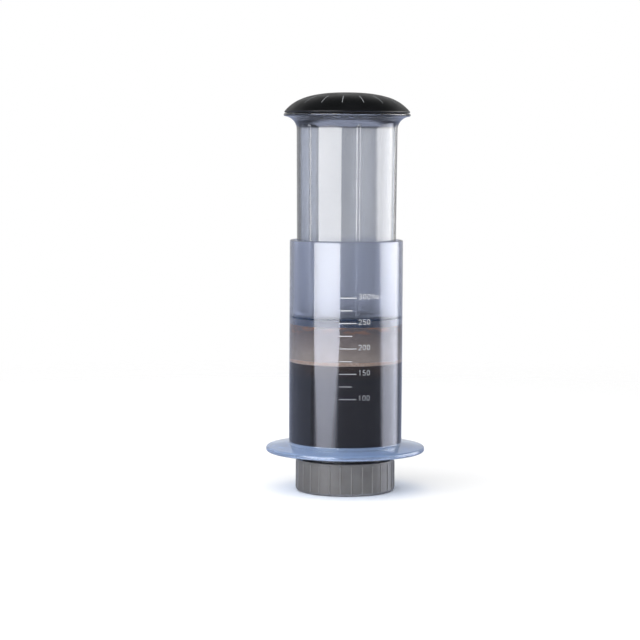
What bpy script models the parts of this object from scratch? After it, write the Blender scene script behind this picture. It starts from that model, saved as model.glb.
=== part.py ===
"""Piston coffee press, standing on its filter cap with the plunger part of the way down.

Lengths are in metres. Z is up and is the axis that every piece is turned about. The front faces -Y.
"""

import math

import bmesh
import bpy
from mathutils import Matrix, Vector

# Fits shared by all pieces
FIT_GAP = 0.0003
RUNNING_GAP = 0.0001
OVERRUN = 0.0006
WELD_DISTANCE = 0.000001

# Filter cap
CAP_DIAMETER = 0.0600
CAP_HEIGHT = 0.0196
CAP_WALL = 0.0015
CAP_EDGE_FILLET = 0.0016
CAP_RIM_FILLET = 0.0005
CAP_FOOT_WIDTH = 0.0050
CAP_RECESS = 0.0024
CAP_FLOOR = 0.0026
CAP_FLOOR_FALL = 0.0006
CAP_RIB_COUNT = 28
CAP_RIB_PHASE = math.radians(7.7)
CAP_RIB_WIDTH = 0.0007
CAP_RIB_DEPTH = 0.00045
CAP_RIB_MARGIN = 0.0008

# Screen seat and outlet of the filter cap
SEAT_STEP = 0.0006
SEAT_WIDTH = 0.0031
SPIDER_COUNT = 8
SPIDER_WIDTH = 0.0009
SPIDER_RELIEF = 0.0001
OUTLET_BORE = 0.0080
OUTLET_BOSS_WALL = 0.0018
OUTLET_LIFT = 0.0005
VALVE_SHELF = 0.0015

# Outlet valve and its retainer
VALVE_FLANGE_WIDTH = 0.0027
VALVE_FLANGE = 0.0009
VALVE_SKIN = 0.0007
VALVE_SLIT_WIDTH = 0.0003
VALVE_SLIT_LENGTH = 0.0048
RETAINER_HEIGHT = 0.0009

# Filter stack
SCREEN_THICKNESS = 0.0004
SCREEN_HOLE = 0.0016
SCREEN_HOLE_PITCH = 0.0062
SCREEN_HOLE_RINGS = 3
PAPER_THICKNESS = 0.0002
GASKET_THICKNESS = 0.0016
GASKET_WIDTH = 0.0033

# Chamber neck and its bayonet
NECK_DIAMETER = 0.0540
NECK_WALL = 0.0022
LUG_COUNT = 4
LUG_SPAN = math.radians(36)
LUG_HEIGHT = 0.0030
LUG_LIFT = 0.0015
LEDGE_SPAN = math.radians(40)
LEDGE_HEIGHT = 0.0024
STOP_SPAN = math.radians(3)

# Brew chamber
CHAMBER_BORE = 0.0645
CHAMBER_WALL = 0.0022
CHAMBER_HEIGHT = 0.1291
CHAMBER_RIM_FILLET = 0.0008
CHAMBER_FLOOR = 0.0035
CHAMBER_FLOOR_FALL = 0.0015
CHAMBER_FLOOR_FILLET = 0.0010
FLANGE_DIAMETER = 0.0968
FLANGE_EDGE = 0.0029
FLANGE_RISE = 0.0022
FLANGE_FILLET = 0.0011
FLANGE_ABOVE_CAP = 0.0045

# Plunger seal
SEAL_REST_HEIGHT = 0.0733
SEAL_HEIGHT = 0.0064
SEAL_LIP = 0.0014
SEAL_LIP_FILLET = 0.0005
SEAL_WAIST_DEPTH = 0.0010
SEAL_WEB = 0.0012

# Plunger tube
TUBE_TOP_DIAMETER = 0.0612
TUBE_FOOT_DIAMETER = 0.0596
TUBE_WALL = 0.0020
TUBE_FLOOR = 0.0024
TUBE_LENGTH = 0.1124
TUBE_FOOT_FILLET = 0.0008
FLARE_RADIUS = 0.0079
FLARE_EDGE_FILLET = 0.0005
TUBE_RIB_COUNT = 6
TUBE_RIB_PHASE = math.radians(13)
TUBE_RIB_WIDTH = 0.0022
TUBE_RIB_DEPTH = 0.0004
TUBE_RIB_MARGIN = 0.0012
BOSS_POST_DIAMETER = 0.0180
BOSS_HEAD_DIAMETER = 0.0280
BOSS_HEAD_HEIGHT = 0.0016

# Press cap
DOME_INSET = 0.00045
DOME_HEIGHT = 0.0122
DOME_WALL = 0.0022
DOME_EDGE = 0.0006
DOME_FLANK_SHARES = (0.814, 0.784)
DOME_CROWN_SHARES = (0.473, 1.0)
DOME_STEPS = 8
PLUG_DEPTH = 0.0050
PLUG_WALL = 0.0028
RING_HEIGHT = 0.0018
RING_DEPTH = 0.0008
RING_LIFT = 0.0012

# Facets
ROUND_STEPS = 48
SMALL_ROUND_STEPS = 24
HOLE_STEPS = 6
FILLET_STEPS = 2
FLARE_STEPS = 5
SECTOR_STEPS = 4

# Places worked out from the sizes above
CAP_RADIUS = CAP_DIAMETER / 2
CAP_BORE_RADIUS = CAP_RADIUS - CAP_WALL
SEAT_RADIUS = CAP_BORE_RADIUS - SEAT_WIDTH
SEAT_TOP = CAP_RECESS + CAP_FLOOR + CAP_FLOOR_FALL + SEAT_STEP
SCREEN_BOTTOM = SEAT_TOP + FIT_GAP
PAPER_BOTTOM = SCREEN_BOTTOM + SCREEN_THICKNESS + FIT_GAP
GASKET_BOTTOM = PAPER_BOTTOM + PAPER_THICKNESS + FIT_GAP
NECK_END = GASKET_BOTTOM + GASKET_THICKNESS + FIT_GAP
NECK_RADIUS = NECK_DIAMETER / 2
NECK_BORE_RADIUS = NECK_RADIUS - NECK_WALL
LUG_BOTTOM = NECK_END + LUG_LIFT
LEDGE_BOTTOM = LUG_BOTTOM + LUG_HEIGHT + FIT_GAP
FLANGE_BOTTOM = CAP_HEIGHT + FLANGE_ABOVE_CAP
CHAMBER_BORE_RADIUS = CHAMBER_BORE / 2
CHAMBER_RADIUS = CHAMBER_BORE_RADIUS + CHAMBER_WALL
CHAMBER_FLOOR_TOP = FLANGE_BOTTOM + CHAMBER_FLOOR
CHAMBER_RIM = FLANGE_BOTTOM + CHAMBER_HEIGHT
PLUNGER_BASE = CHAMBER_FLOOR_TOP + SEAL_REST_HEIGHT
TUBE_FOOT = SEAL_HEIGHT + FIT_GAP
FLARE_START = TUBE_FOOT + TUBE_LENGTH
TUBE_TOP_RADIUS = TUBE_TOP_DIAMETER / 2
TUBE_FOOT_RADIUS = TUBE_FOOT_DIAMETER / 2
TUBE_BORE_RADIUS = TUBE_TOP_RADIUS - TUBE_WALL
FLARE_CENTRE = (TUBE_TOP_RADIUS + FLARE_RADIUS, FLARE_START)
TUBE_RIM = FLARE_START + FLARE_RADIUS + TUBE_WALL
DOME_RADIUS = TUBE_TOP_RADIUS + FLARE_RADIUS - DOME_INSET
PRESS_CAP_BASE = PLUNGER_BASE + TUBE_RIM + FIT_GAP
PLUG_RADIUS = TUBE_BORE_RADIUS - FIT_GAP


def clear_scene():
    """Removes what the scene holds at the start."""
    for thing in list(bpy.data.objects):
        bpy.data.objects.remove(thing, do_unlink=True)


def new_collection(name, hidden=False):
    """Adds a collection to the scene."""
    collection = bpy.data.collections.new(name)
    collection.hide_render = hidden
    bpy.context.scene.collection.children.link(collection)
    return collection


def joint_empty(name, height):
    """Adds the empty that carries the pieces of one moving group, on the Z axis."""
    empty = bpy.data.objects.new(name, None)
    empty.location.z = height
    PARTS.objects.link(empty)
    return empty


def finish(part, colour, roughness, metallic=0.0, alpha=1.0):
    """Gives a piece its own material."""
    material = bpy.data.materials.new(part.name)
    material.use_nodes = True
    shader = material.node_tree.nodes["Principled BSDF"]
    shader.inputs["Base Color"].default_value = (*colour, 1.0)
    shader.inputs["Roughness"].default_value = roughness
    shader.inputs["Metallic"].default_value = metallic
    shader.inputs["Alpha"].default_value = alpha
    part.data.materials.append(material)


def arc(centre, radius, start, end, steps):
    """Points of an arc in the profile plane, from one angle to another."""
    angles = [start + (end - start) * step / steps for step in range(steps + 1)]
    return [(centre[0] + radius * math.cos(a), centre[1] + radius * math.sin(a)) for a in angles]


def filleted(corners):
    """Points of a profile whose corners are (radius, height) or (radius, height, fillet)."""
    points = []
    for index, corner in enumerate(corners):
        here = Vector(corner[:2])
        if len(corner) < 3:
            points.append(tuple(here))
            continue
        fillet = corner[2]
        back = (Vector(corners[index - 1][:2]) - here).normalized()
        ahead = (Vector(corners[(index + 1) % len(corners)][:2]) - here).normalized()
        half = back.angle(ahead) / 2
        centre = here + (back + ahead).normalized() * (fillet / math.sin(half))
        start = here + back * (fillet / math.tan(half)) - centre
        end = here + ahead * (fillet / math.tan(half)) - centre
        first = math.atan2(start.y, start.x)
        turn = math.remainder(math.atan2(end.y, end.x) - first, math.tau)
        points += arc(centre, fillet, first, first + turn, FILLET_STEPS)
    return points


def turned(name, parent, profile, steps, ring=True):
    """Adds a solid of revolution. A ring's profile is a closed loop, any other runs from axis to axis."""
    mesh = bpy.data.meshes.new(name)
    edges = [(index, index + 1) for index in range(len(profile) - 1)]
    if ring:
        edges.append((len(profile) - 1, 0))
    mesh.from_pydata([(radius, 0, height) for radius, height in profile], edges, [])
    part = bpy.data.objects.new(name, mesh)
    part.parent = parent
    PARTS.objects.link(part)
    screw = part.modifiers.new("turn", "SCREW")
    screw.steps = steps
    screw.render_steps = steps
    screw.use_merge_vertices = True
    screw.merge_threshold = WELD_DISTANCE
    screw.use_smooth_shade = True
    return part


def helper(name, parent, mesh):
    """Adds a shape that a piece is joined to or cut by."""
    shape = bpy.data.objects.new(name, mesh)
    shape.parent = parent
    shape.hide_render = True
    shape.display_type = "WIRE"
    HELPERS.objects.link(shape)
    return shape


def mesh_of(name, shapes):
    """One mesh of the closed shapes that the given function adds."""
    shape_mesh = bmesh.new()
    shapes(shape_mesh)
    mesh = bpy.data.meshes.new(name)
    shape_mesh.to_mesh(mesh)
    shape_mesh.free()
    return mesh


def radial_bars(name, parent, angles, span, width, rise, lean=0.0):
    """Bars that stand out from the axis at each angle. Span and rise are (low, high) radii and heights."""

    def add_bars(shape_mesh):
        middle = Vector(((span[0] + span[1]) / 2, 0, (rise[0] + rise[1]) / 2))
        size = Matrix.Diagonal((span[1] - span[0], width, rise[1] - rise[0], 1))
        leaning = Matrix.Translation(middle) @ Matrix.Rotation(lean, 4, "Y") @ size
        for angle in angles:
            bmesh.ops.create_cube(shape_mesh, size=1, matrix=Matrix.Rotation(angle, 4, "Z") @ leaning)

    return helper(name, parent, mesh_of(name, add_bars))


def sectors(name, parent, span, spreads, rise):
    """Pieces of a ring between two radii, one for each (start, end) angle, as high as rise says."""
    outline = bpy.data.curves.new(name, "CURVE")
    outline.dimensions = "2D"
    outline.fill_mode = "BOTH"
    outline.extrude = (rise[1] - rise[0]) / 2
    for start, end in spreads:
        points = arc((0, 0), span[1], start, end, SECTOR_STEPS)
        points += arc((0, 0), span[0], end, start, SECTOR_STEPS)
        spline = outline.splines.new("POLY")
        spline.points.add(len(points) - 1)
        spline.use_cyclic_u = True
        for point, (x, y) in zip(spline.points, points):
            point.co = (x, y, 0, 1)
    flat = bpy.data.objects.new(name, outline)
    flat.location.z = (rise[0] + rise[1]) / 2
    PARTS.objects.link(flat)
    bpy.context.view_layer.update()
    mesh = bpy.data.meshes.new_from_object(flat.evaluated_get(bpy.context.evaluated_depsgraph_get()))
    welded = bmesh.new()
    welded.from_mesh(mesh)
    bmesh.ops.remove_doubles(welded, verts=welded.verts, dist=WELD_DISTANCE)
    welded.to_mesh(mesh)
    welded.free()
    solid = helper(name, parent, mesh)
    solid.location = flat.location
    bpy.data.objects.remove(flat, do_unlink=True)
    return solid


def apply_shape(part, shape, operation):
    """Joins a helper shape to a piece, or cuts the piece by it."""
    boolean = part.modifiers.new(shape.name, "BOOLEAN")
    boolean.operation = operation
    boolean.solver = "EXACT"
    boolean.object = shape


def evenly(count, phase=0.0):
    """Angles of a pattern about the axis, counted from the front."""
    return [phase - math.pi / 2 + math.tau * index / count for index in range(count)]


def make_brew_chamber():
    """Straight tube with the mug flange, a floor that falls to the neck, and lugs on the neck."""
    flange_radius = FLANGE_DIAMETER / 2
    flange_edge_top = FLANGE_BOTTOM + FLANGE_EDGE
    profile = filleted([
        (CHAMBER_BORE_RADIUS, CHAMBER_RIM, CHAMBER_RIM_FILLET),
        (CHAMBER_RADIUS, CHAMBER_RIM, CHAMBER_RIM_FILLET),
        (CHAMBER_RADIUS, flange_edge_top + FLANGE_RISE, CHAMBER_RIM_FILLET),
        (flange_radius, flange_edge_top, FLANGE_FILLET),
        (flange_radius, FLANGE_BOTTOM, FLANGE_FILLET),
        (NECK_RADIUS, FLANGE_BOTTOM),
        (NECK_RADIUS, NECK_END),
        (NECK_BORE_RADIUS, NECK_END),
        (NECK_BORE_RADIUS, CHAMBER_FLOOR_TOP - CHAMBER_FLOOR_FALL),
        (CHAMBER_BORE_RADIUS, CHAMBER_FLOOR_TOP, CHAMBER_FLOOR_FILLET),
    ])
    chamber = turned("brew_chamber", None, profile, ROUND_STEPS)
    finish(chamber, (0.36, 0.42, 0.55), 0.08, alpha=0.45)
    spreads = [(angle - LUG_SPAN / 2, angle + LUG_SPAN / 2) for angle in evenly(LUG_COUNT)]
    span = (NECK_RADIUS - OVERRUN, CAP_BORE_RADIUS - FIT_GAP)
    lugs = sectors("neck_lugs", None, span, spreads, (LUG_BOTTOM, LUG_BOTTOM + LUG_HEIGHT))
    apply_shape(chamber, lugs, "UNION")


def make_plunger_tube(plunger):
    """Flared tube, closed at the foot, with the boss that holds the seal and six thin guide ribs."""
    boss_bottom = SEAL_WEB + FIT_GAP
    boss_head_top = boss_bottom + BOSS_HEAD_HEIGHT
    inner_arc = FLARE_RADIUS + TUBE_WALL
    groove_angle = math.pi - math.acos(FLARE_RADIUS / inner_arc)
    groove = arc(FLARE_CENTRE, inner_arc, groove_angle, math.pi / 2, FLARE_STEPS)
    flare = arc(FLARE_CENTRE, FLARE_RADIUS, math.pi / 2, math.pi, FLARE_STEPS)
    inside = filleted([
        (0, TUBE_FOOT + TUBE_FLOOR),
        (TUBE_FOOT_RADIUS - TUBE_WALL, TUBE_FOOT + TUBE_FLOOR, TUBE_FOOT_FILLET),
        (TUBE_BORE_RADIUS, FLARE_START),
        (TUBE_BORE_RADIUS, TUBE_RIM, FLARE_EDGE_FILLET),
        (TUBE_TOP_RADIUS, TUBE_RIM, FLARE_EDGE_FILLET),
        groove[0],
    ])
    outside = filleted([
        flare[-1],
        (TUBE_FOOT_RADIUS, TUBE_FOOT, TUBE_FOOT_FILLET),
        (BOSS_POST_DIAMETER / 2, TUBE_FOOT),
        (BOSS_POST_DIAMETER / 2, boss_head_top),
        (BOSS_HEAD_DIAMETER / 2, boss_head_top),
        (BOSS_HEAD_DIAMETER / 2, boss_bottom),
        (0, boss_bottom),
    ])
    profile = inside[:-1] + groove + flare[:-1] + outside
    tube = turned("plunger_tube", plunger, profile, ROUND_STEPS, ring=False)
    finish(tube, (0.42, 0.46, 0.55), 0.06, alpha=0.45)
    draft = math.atan((TUBE_TOP_RADIUS - TUBE_FOOT_RADIUS) / TUBE_LENGTH)
    middle_radius = (TUBE_TOP_RADIUS + TUBE_FOOT_RADIUS) / 2
    span = (middle_radius - TUBE_WALL / 2, middle_radius + TUBE_RIB_DEPTH)
    rise = (TUBE_FOOT + TUBE_RIB_MARGIN, FLARE_START + TUBE_WALL)
    angles = evenly(TUBE_RIB_COUNT, TUBE_RIB_PHASE)
    ribs = radial_bars("tube_ribs", plunger, angles, span, TUBE_RIB_WIDTH, rise, draft)
    apply_shape(tube, ribs, "UNION")


def make_plunger_seal(plunger):
    """Silicone seal with a wiping lip at each end and a socket that snaps over the tube's boss."""
    lip_radius = CHAMBER_BORE_RADIUS - RUNNING_GAP
    waist_radius = lip_radius - SEAL_WAIST_DEPTH
    socket_radius = BOSS_HEAD_DIAMETER / 2 + FIT_GAP
    mouth_radius = BOSS_POST_DIAMETER / 2 + FIT_GAP
    socket_top = SEAL_WEB + BOSS_HEAD_HEIGHT + FIT_GAP + FIT_GAP
    profile = filleted([
        (0, SEAL_WEB),
        (socket_radius, SEAL_WEB),
        (socket_radius, socket_top),
        (mouth_radius, socket_top),
        (mouth_radius, SEAL_HEIGHT),
        (lip_radius, SEAL_HEIGHT, SEAL_LIP_FILLET),
        (lip_radius, SEAL_HEIGHT - SEAL_LIP, SEAL_LIP_FILLET),
        (waist_radius, SEAL_HEIGHT - SEAL_LIP),
        (waist_radius, SEAL_LIP),
        (lip_radius, SEAL_LIP, SEAL_LIP_FILLET),
        (lip_radius, 0, SEAL_LIP_FILLET),
        (0, 0),
    ])
    seal = turned("plunger_seal", plunger, profile, ROUND_STEPS, ring=False)
    finish(seal, (0.05, 0.09, 0.12), 0.45)


def dome_curve(radius, height):
    """Points of the dome from the middle of its crown to its edge, a cubic curve in the profile plane."""
    ends = ((radius, 0), (DOME_FLANK_SHARES[0] * radius, DOME_FLANK_SHARES[1] * height))
    ends += ((DOME_CROWN_SHARES[0] * radius, DOME_CROWN_SHARES[1] * height), (0, height))
    points = []
    for step in range(DOME_STEPS, -1, -1):
        share = step / DOME_STEPS
        weights = [math.comb(3, power) * share**power * (1 - share) ** (3 - power) for power in range(4)]
        points.append(tuple(sum(w * end[axis] for w, end in zip(weights, ends)) for axis in (0, 1)))
    return points


def make_press_cap(press_cap_joint):
    """Hollow dome with a rim that covers the flare and a plug that goes into the tube."""
    dome = dome_curve(DOME_RADIUS, DOME_HEIGHT - DOME_EDGE)
    crown = [(radius, height + DOME_EDGE) for radius, height in dome]
    plug_bore = PLUG_RADIUS - PLUG_WALL
    ceiling = dome_curve(DOME_RADIUS - DOME_WALL, DOME_HEIGHT - DOME_WALL)
    inner_ceiling = [point for point in ceiling if point[0] < plug_bore - DOME_WALL]
    ring_bottom = RING_LIFT - PLUG_DEPTH
    ring_top = ring_bottom + RING_HEIGHT + FIT_GAP + FIT_GAP
    groove_radius = PLUG_RADIUS - RING_DEPTH
    outside = crown + [
        (DOME_RADIUS, 0),
        (PLUG_RADIUS, 0),
        (PLUG_RADIUS, ring_top),
        (groove_radius, ring_top),
        (groove_radius, ring_bottom),
        (PLUG_RADIUS, ring_bottom),
        (PLUG_RADIUS, -PLUG_DEPTH),
        (plug_bore, -PLUG_DEPTH),
    ]
    inside = [(plug_bore, inner_ceiling[-1][1])] + inner_ceiling[::-1]
    cap = turned("press_cap", press_cap_joint, outside + inside, ROUND_STEPS, ring=False)
    finish(cap, (0.012, 0.013, 0.015), 0.38)
    ring_span = (groove_radius + RUNNING_GAP, TUBE_BORE_RADIUS - RUNNING_GAP)
    ring_rise = (ring_bottom + FIT_GAP, ring_bottom + FIT_GAP + RING_HEIGHT)
    fillet = RING_DEPTH / 3
    ring_profile = filleted([
        (ring_span[0], ring_rise[1]),
        (ring_span[1], ring_rise[1], fillet),
        (ring_span[1], ring_rise[0], fillet),
        (ring_span[0], ring_rise[0]),
    ])
    ring = turned("press_cap_ring", press_cap_joint, ring_profile, ROUND_STEPS)
    finish(ring, (0.08, 0.09, 0.10), 0.5)


def make_filter_cap(filter_cap_joint):
    """Ribbed cap with a foot ring, a drain floor on radial bars, a central outlet and bayonet ledges."""
    foot_radius = CAP_RADIUS - CAP_EDGE_FILLET - CAP_FOOT_WIDTH
    outlet_radius = OUTLET_BORE / 2
    shelf = OUTLET_LIFT + VALVE_SHELF
    pocket_radius = outlet_radius + VALVE_FLANGE_WIDTH + FIT_GAP
    boss_radius = pocket_radius + OUTLET_BOSS_WALL
    drain_low = CAP_RECESS + CAP_FLOOR
    profile = filleted([
        (CAP_BORE_RADIUS, CAP_HEIGHT, CAP_RIM_FILLET),
        (CAP_RADIUS, CAP_HEIGHT, CAP_RIM_FILLET),
        (CAP_RADIUS, 0, CAP_EDGE_FILLET),
        (foot_radius, 0),
        (foot_radius, CAP_RECESS),
        (boss_radius, CAP_RECESS),
        (boss_radius, OUTLET_LIFT),
        (outlet_radius, OUTLET_LIFT),
        (outlet_radius, shelf),
        (pocket_radius, shelf),
        (pocket_radius, drain_low),
        (SEAT_RADIUS, drain_low + CAP_FLOOR_FALL),
        (SEAT_RADIUS, SEAT_TOP),
        (CAP_BORE_RADIUS, SEAT_TOP),
    ])
    cap = turned("filter_cap", filter_cap_joint, profile, ROUND_STEPS)
    finish(cap, (0.17, 0.17, 0.17), 0.35)
    angles = evenly(CAP_RIB_COUNT, CAP_RIB_PHASE)
    span = (CAP_RADIUS - CAP_WALL / 2, CAP_RADIUS + CAP_RIB_DEPTH)
    rise = (CAP_EDGE_FILLET, CAP_HEIGHT - CAP_RIB_MARGIN)
    apply_shape(cap, radial_bars("grip_ribs", filter_cap_joint, angles, span, CAP_RIB_WIDTH, rise), "UNION")
    spider_span = (pocket_radius + OUTLET_BOSS_WALL, SEAT_RADIUS + OVERRUN)
    spider_rise = (CAP_RECESS + CAP_FLOOR / 2, SEAT_TOP - SPIDER_RELIEF)
    spider = radial_bars(
        "screen_bars", filter_cap_joint, evenly(SPIDER_COUNT), spider_span, SPIDER_WIDTH, spider_rise
    )
    apply_shape(cap, spider, "UNION")
    ledge_span = (NECK_RADIUS + FIT_GAP, CAP_BORE_RADIUS + CAP_WALL / 2)
    stop_end = LUG_SPAN / 2 + FIT_GAP / NECK_RADIUS
    stop_start = stop_end + STOP_SPAN
    lugs = evenly(LUG_COUNT)
    ledge_spreads = [(angle - stop_start, angle + LEDGE_SPAN / 2) for angle in lugs]
    ledge_rise = (LEDGE_BOTTOM, LEDGE_BOTTOM + LEDGE_HEIGHT)
    ledges = sectors("bayonet_ledges", filter_cap_joint, ledge_span, ledge_spreads, ledge_rise)
    apply_shape(cap, ledges, "UNION")
    stop_spreads = [(angle - stop_start, angle - stop_end) for angle in lugs]
    stop_rise = (LUG_BOTTOM, LEDGE_BOTTOM + LEDGE_HEIGHT / 2)
    stops = sectors("bayonet_stops", filter_cap_joint, ledge_span, stop_spreads, stop_rise)
    apply_shape(cap, stops, "UNION")


def make_filter_stack(filter_cap_joint):
    """Screen, paper and gasket, laid on the cap's seat in that order."""
    disc_radius = CAP_BORE_RADIUS - FIT_GAP
    screen_top = SCREEN_BOTTOM + SCREEN_THICKNESS
    disc = [(0, screen_top), (disc_radius, screen_top), (disc_radius, SCREEN_BOTTOM), (0, SCREEN_BOTTOM)]
    screen = turned("filter_screen", filter_cap_joint, disc, ROUND_STEPS, ring=False)
    finish(screen, (0.62, 0.62, 0.60), 0.30, metallic=1.0)

    def add_holes(shape_mesh):
        middle = (SCREEN_BOTTOM + screen_top) / 2
        for ring in range(SCREEN_HOLE_RINGS + 1):
            for angle in evenly(max(1, ring * 6)):
                place = Matrix.Rotation(angle, 4, "Z") @ Vector((ring * SCREEN_HOLE_PITCH, 0, middle))
                bmesh.ops.create_cone(
                    shape_mesh,
                    cap_ends=True,
                    segments=HOLE_STEPS,
                    radius1=SCREEN_HOLE / 2,
                    radius2=SCREEN_HOLE / 2,
                    depth=SCREEN_THICKNESS + OVERRUN,
                    matrix=Matrix.Translation(place),
                )

    holes = helper("screen_holes", filter_cap_joint, mesh_of("screen_holes", add_holes))
    apply_shape(screen, holes, "DIFFERENCE")
    paper_top = PAPER_BOTTOM + PAPER_THICKNESS
    sheet = [(0, paper_top), (disc_radius, paper_top), (disc_radius, PAPER_BOTTOM), (0, PAPER_BOTTOM)]
    paper = turned("paper_filter", filter_cap_joint, sheet, SMALL_ROUND_STEPS, ring=False)
    finish(paper, (0.80, 0.76, 0.68), 0.9)
    gasket_top = GASKET_BOTTOM + GASKET_THICKNESS
    gasket_bore = disc_radius - GASKET_WIDTH
    band = [
        (gasket_bore, gasket_top),
        (disc_radius, gasket_top),
        (disc_radius, GASKET_BOTTOM),
        (gasket_bore, GASKET_BOTTOM),
    ]
    gasket = turned("neck_gasket", filter_cap_joint, band, SMALL_ROUND_STEPS)
    finish(gasket, (0.30, 0.31, 0.32), 0.55)


def make_outlet_valve(filter_cap_joint):
    """Cup-shaped slit valve that hangs in the outlet, and the ring that clamps its flange."""
    cup_radius = OUTLET_BORE / 2 - FIT_GAP
    flange_radius = OUTLET_BORE / 2 + VALVE_FLANGE_WIDTH
    flange_bottom = OUTLET_LIFT + VALVE_SHELF + FIT_GAP
    flange_top = flange_bottom + VALVE_FLANGE
    cup_bottom = OUTLET_LIFT + FIT_GAP
    cup_bore = cup_radius - VALVE_SKIN
    profile = [
        (0, cup_bottom + VALVE_SKIN),
        (cup_bore, cup_bottom + VALVE_SKIN),
        (cup_bore, flange_top),
        (flange_radius, flange_top),
        (flange_radius, flange_bottom),
        (cup_radius, flange_bottom),
        (cup_radius, cup_bottom),
        (0, cup_bottom),
    ]
    valve = turned("outlet_valve", filter_cap_joint, profile, SMALL_ROUND_STEPS, ring=False)
    finish(valve, (0.55, 0.56, 0.58), 0.5)
    rise = (cup_bottom - OVERRUN, cup_bottom + VALVE_SKIN + OVERRUN)
    span = (-VALVE_SLIT_LENGTH / 2, VALVE_SLIT_LENGTH / 2)
    slit = radial_bars("valve_slit", filter_cap_joint, evenly(1), span, VALVE_SLIT_WIDTH, rise)
    apply_shape(valve, slit, "DIFFERENCE")
    ring_bottom = flange_top + FIT_GAP
    ring_top = ring_bottom + RETAINER_HEIGHT
    ring = [
        (cup_bore, ring_top),
        (flange_radius, ring_top),
        (flange_radius, ring_bottom),
        (cup_bore, ring_bottom),
    ]
    retainer = turned("valve_retainer", filter_cap_joint, ring, SMALL_ROUND_STEPS)
    finish(retainer, (0.17, 0.17, 0.17), 0.4)


clear_scene()
PARTS = new_collection("coffee_press")
HELPERS = new_collection("shape_helpers", hidden=True)
plunger_joint = joint_empty("plunger_joint", PLUNGER_BASE)
press_cap_joint = joint_empty("press_cap_joint", PRESS_CAP_BASE)
filter_cap_joint = joint_empty("filter_cap_joint", 0)
make_brew_chamber()
make_plunger_tube(plunger_joint)
make_plunger_seal(plunger_joint)
make_press_cap(press_cap_joint)
make_filter_cap(filter_cap_joint)
make_filter_stack(filter_cap_joint)
make_outlet_valve(filter_cap_joint)
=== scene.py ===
"""Looks of a piston coffee press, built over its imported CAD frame.

Size fields are in millimetres and degrees, meshes are in metres. Z is up and the front faces -Y.
An azimuth is counted from the front towards +X.
"""

import logging
import math
from collections.abc import Callable, Sequence
from dataclasses import dataclass
from enum import Enum

import bmesh
import bpy
from mathutils import Matrix, Vector


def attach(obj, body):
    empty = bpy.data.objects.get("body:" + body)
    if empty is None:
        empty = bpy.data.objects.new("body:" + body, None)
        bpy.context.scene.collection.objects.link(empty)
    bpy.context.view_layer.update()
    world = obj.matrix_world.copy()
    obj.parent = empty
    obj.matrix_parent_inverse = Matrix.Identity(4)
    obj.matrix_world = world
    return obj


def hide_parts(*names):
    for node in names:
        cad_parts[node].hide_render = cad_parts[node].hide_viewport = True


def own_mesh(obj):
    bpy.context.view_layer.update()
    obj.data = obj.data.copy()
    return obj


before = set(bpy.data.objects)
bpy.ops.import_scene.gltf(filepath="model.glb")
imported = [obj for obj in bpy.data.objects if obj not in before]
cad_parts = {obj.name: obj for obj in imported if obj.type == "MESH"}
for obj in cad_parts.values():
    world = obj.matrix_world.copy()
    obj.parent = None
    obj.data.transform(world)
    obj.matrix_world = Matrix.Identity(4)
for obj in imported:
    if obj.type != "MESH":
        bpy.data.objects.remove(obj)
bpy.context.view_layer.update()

MM = 0.001
log = logging.getLogger("coffee_press")

# Edges that turn by more than this many degrees stay sharp.
CREASE = 32.0
# A fillet keeps this share of its radius flat on each side.
FLAT_SHARE = 0.2
# Where a finish changes at an edge, it blends this many millimetres to each side.
EDGE_BLUR = 0.1
# A count of bounces is told from none by half a bounce.
HALF_BOUNCE = 0.5
WHITE = (1.0, 1.0, 1.0, 1.0)
SMOOTH = {"interpolation_type": "SMOOTHSTEP"}

Point = tuple[float, float]
Profile = list[Point]
Colour = tuple[float, float, float, float]
Swell = Callable[[float, float, float], float]
Tree = bpy.types.NodeTree
Socket = bpy.types.NodeSocket
Piece = bpy.types.Object
Shape = bmesh.types.BMesh


class Body(Enum):
    """The moving groups of the frame."""

    CHAMBER = "chamber"
    PLUNGER = "plunger"
    PRESS_CAP = "press_cap"
    FILTER_CAP = "filter_cap"


class Slot(Enum):
    """The material slots of the record."""

    CLEAR_PLASTIC = "clear_plastic"
    SEAL_SILICONE = "seal_silicone"
    GREY_SILICONE = "grey_silicone"
    BLACK_PLASTIC = "black_plastic"
    GREY_PLASTIC = "grey_plastic"
    SCREEN_STEEL = "screen_steel"
    FILTER_PAPER = "filter_paper"


def linear(hex_colour: str) -> Colour:
    """Turns an sRGB hex colour into the linear values that a socket takes.

    Args:
        hex_colour: six hex digits, such as "d3d4d8".

    Returns:
        Linear red, green and blue, and an alpha of 1.
    """
    values = [int(hex_colour[place : place + 2], 16) / 255 for place in (0, 2, 4)]
    red, green, blue = (v / 12.92 if v <= 0.04045 else ((v + 0.055) / 1.055) ** 2.4 for v in values)
    return (red, green, blue, 1.0)


def add_node(
    tree: Tree, kind: str, inputs: dict[str | int, object] | None = None, **settings: object
) -> bpy.types.Node:
    """Adds a node with its settings, plain values and links.

    A map range takes its value at 0, the range that it reads at 1 and 2, and the one that it gives, which is
    0 to 1 unless told, at 3 and 4. A mix takes its share at 0, numbers at 2 and 3, and colours at 6 and 7.

    Args:
        tree: the node tree it goes into.
        kind: the node's type without its "ShaderNode", such as "TexNoise".
        inputs: a plain value or a linked output socket for each input, by name or index.
        settings: the node's own properties.

    Returns:
        The new node.
    """
    node = tree.nodes.new("ShaderNode" + kind)
    for name, value in settings.items():
        setattr(node, name, value)
    for key, value in (inputs or {}).items():
        if isinstance(value, Socket):
            tree.links.new(value, node.inputs[key])
        else:
            node.inputs[key].default_value = value
    return node


def arc(centre: Point, radius: float, start: float, end: float, steps: int) -> Profile:
    """Points of an arc from one angle in radians to another, in steps chords."""
    angles = [start + (end - start) * step / steps for step in range(steps + 1)]
    return [(centre[0] + radius * math.cos(a), centre[1] + radius * math.sin(a)) for a in angles]


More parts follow.
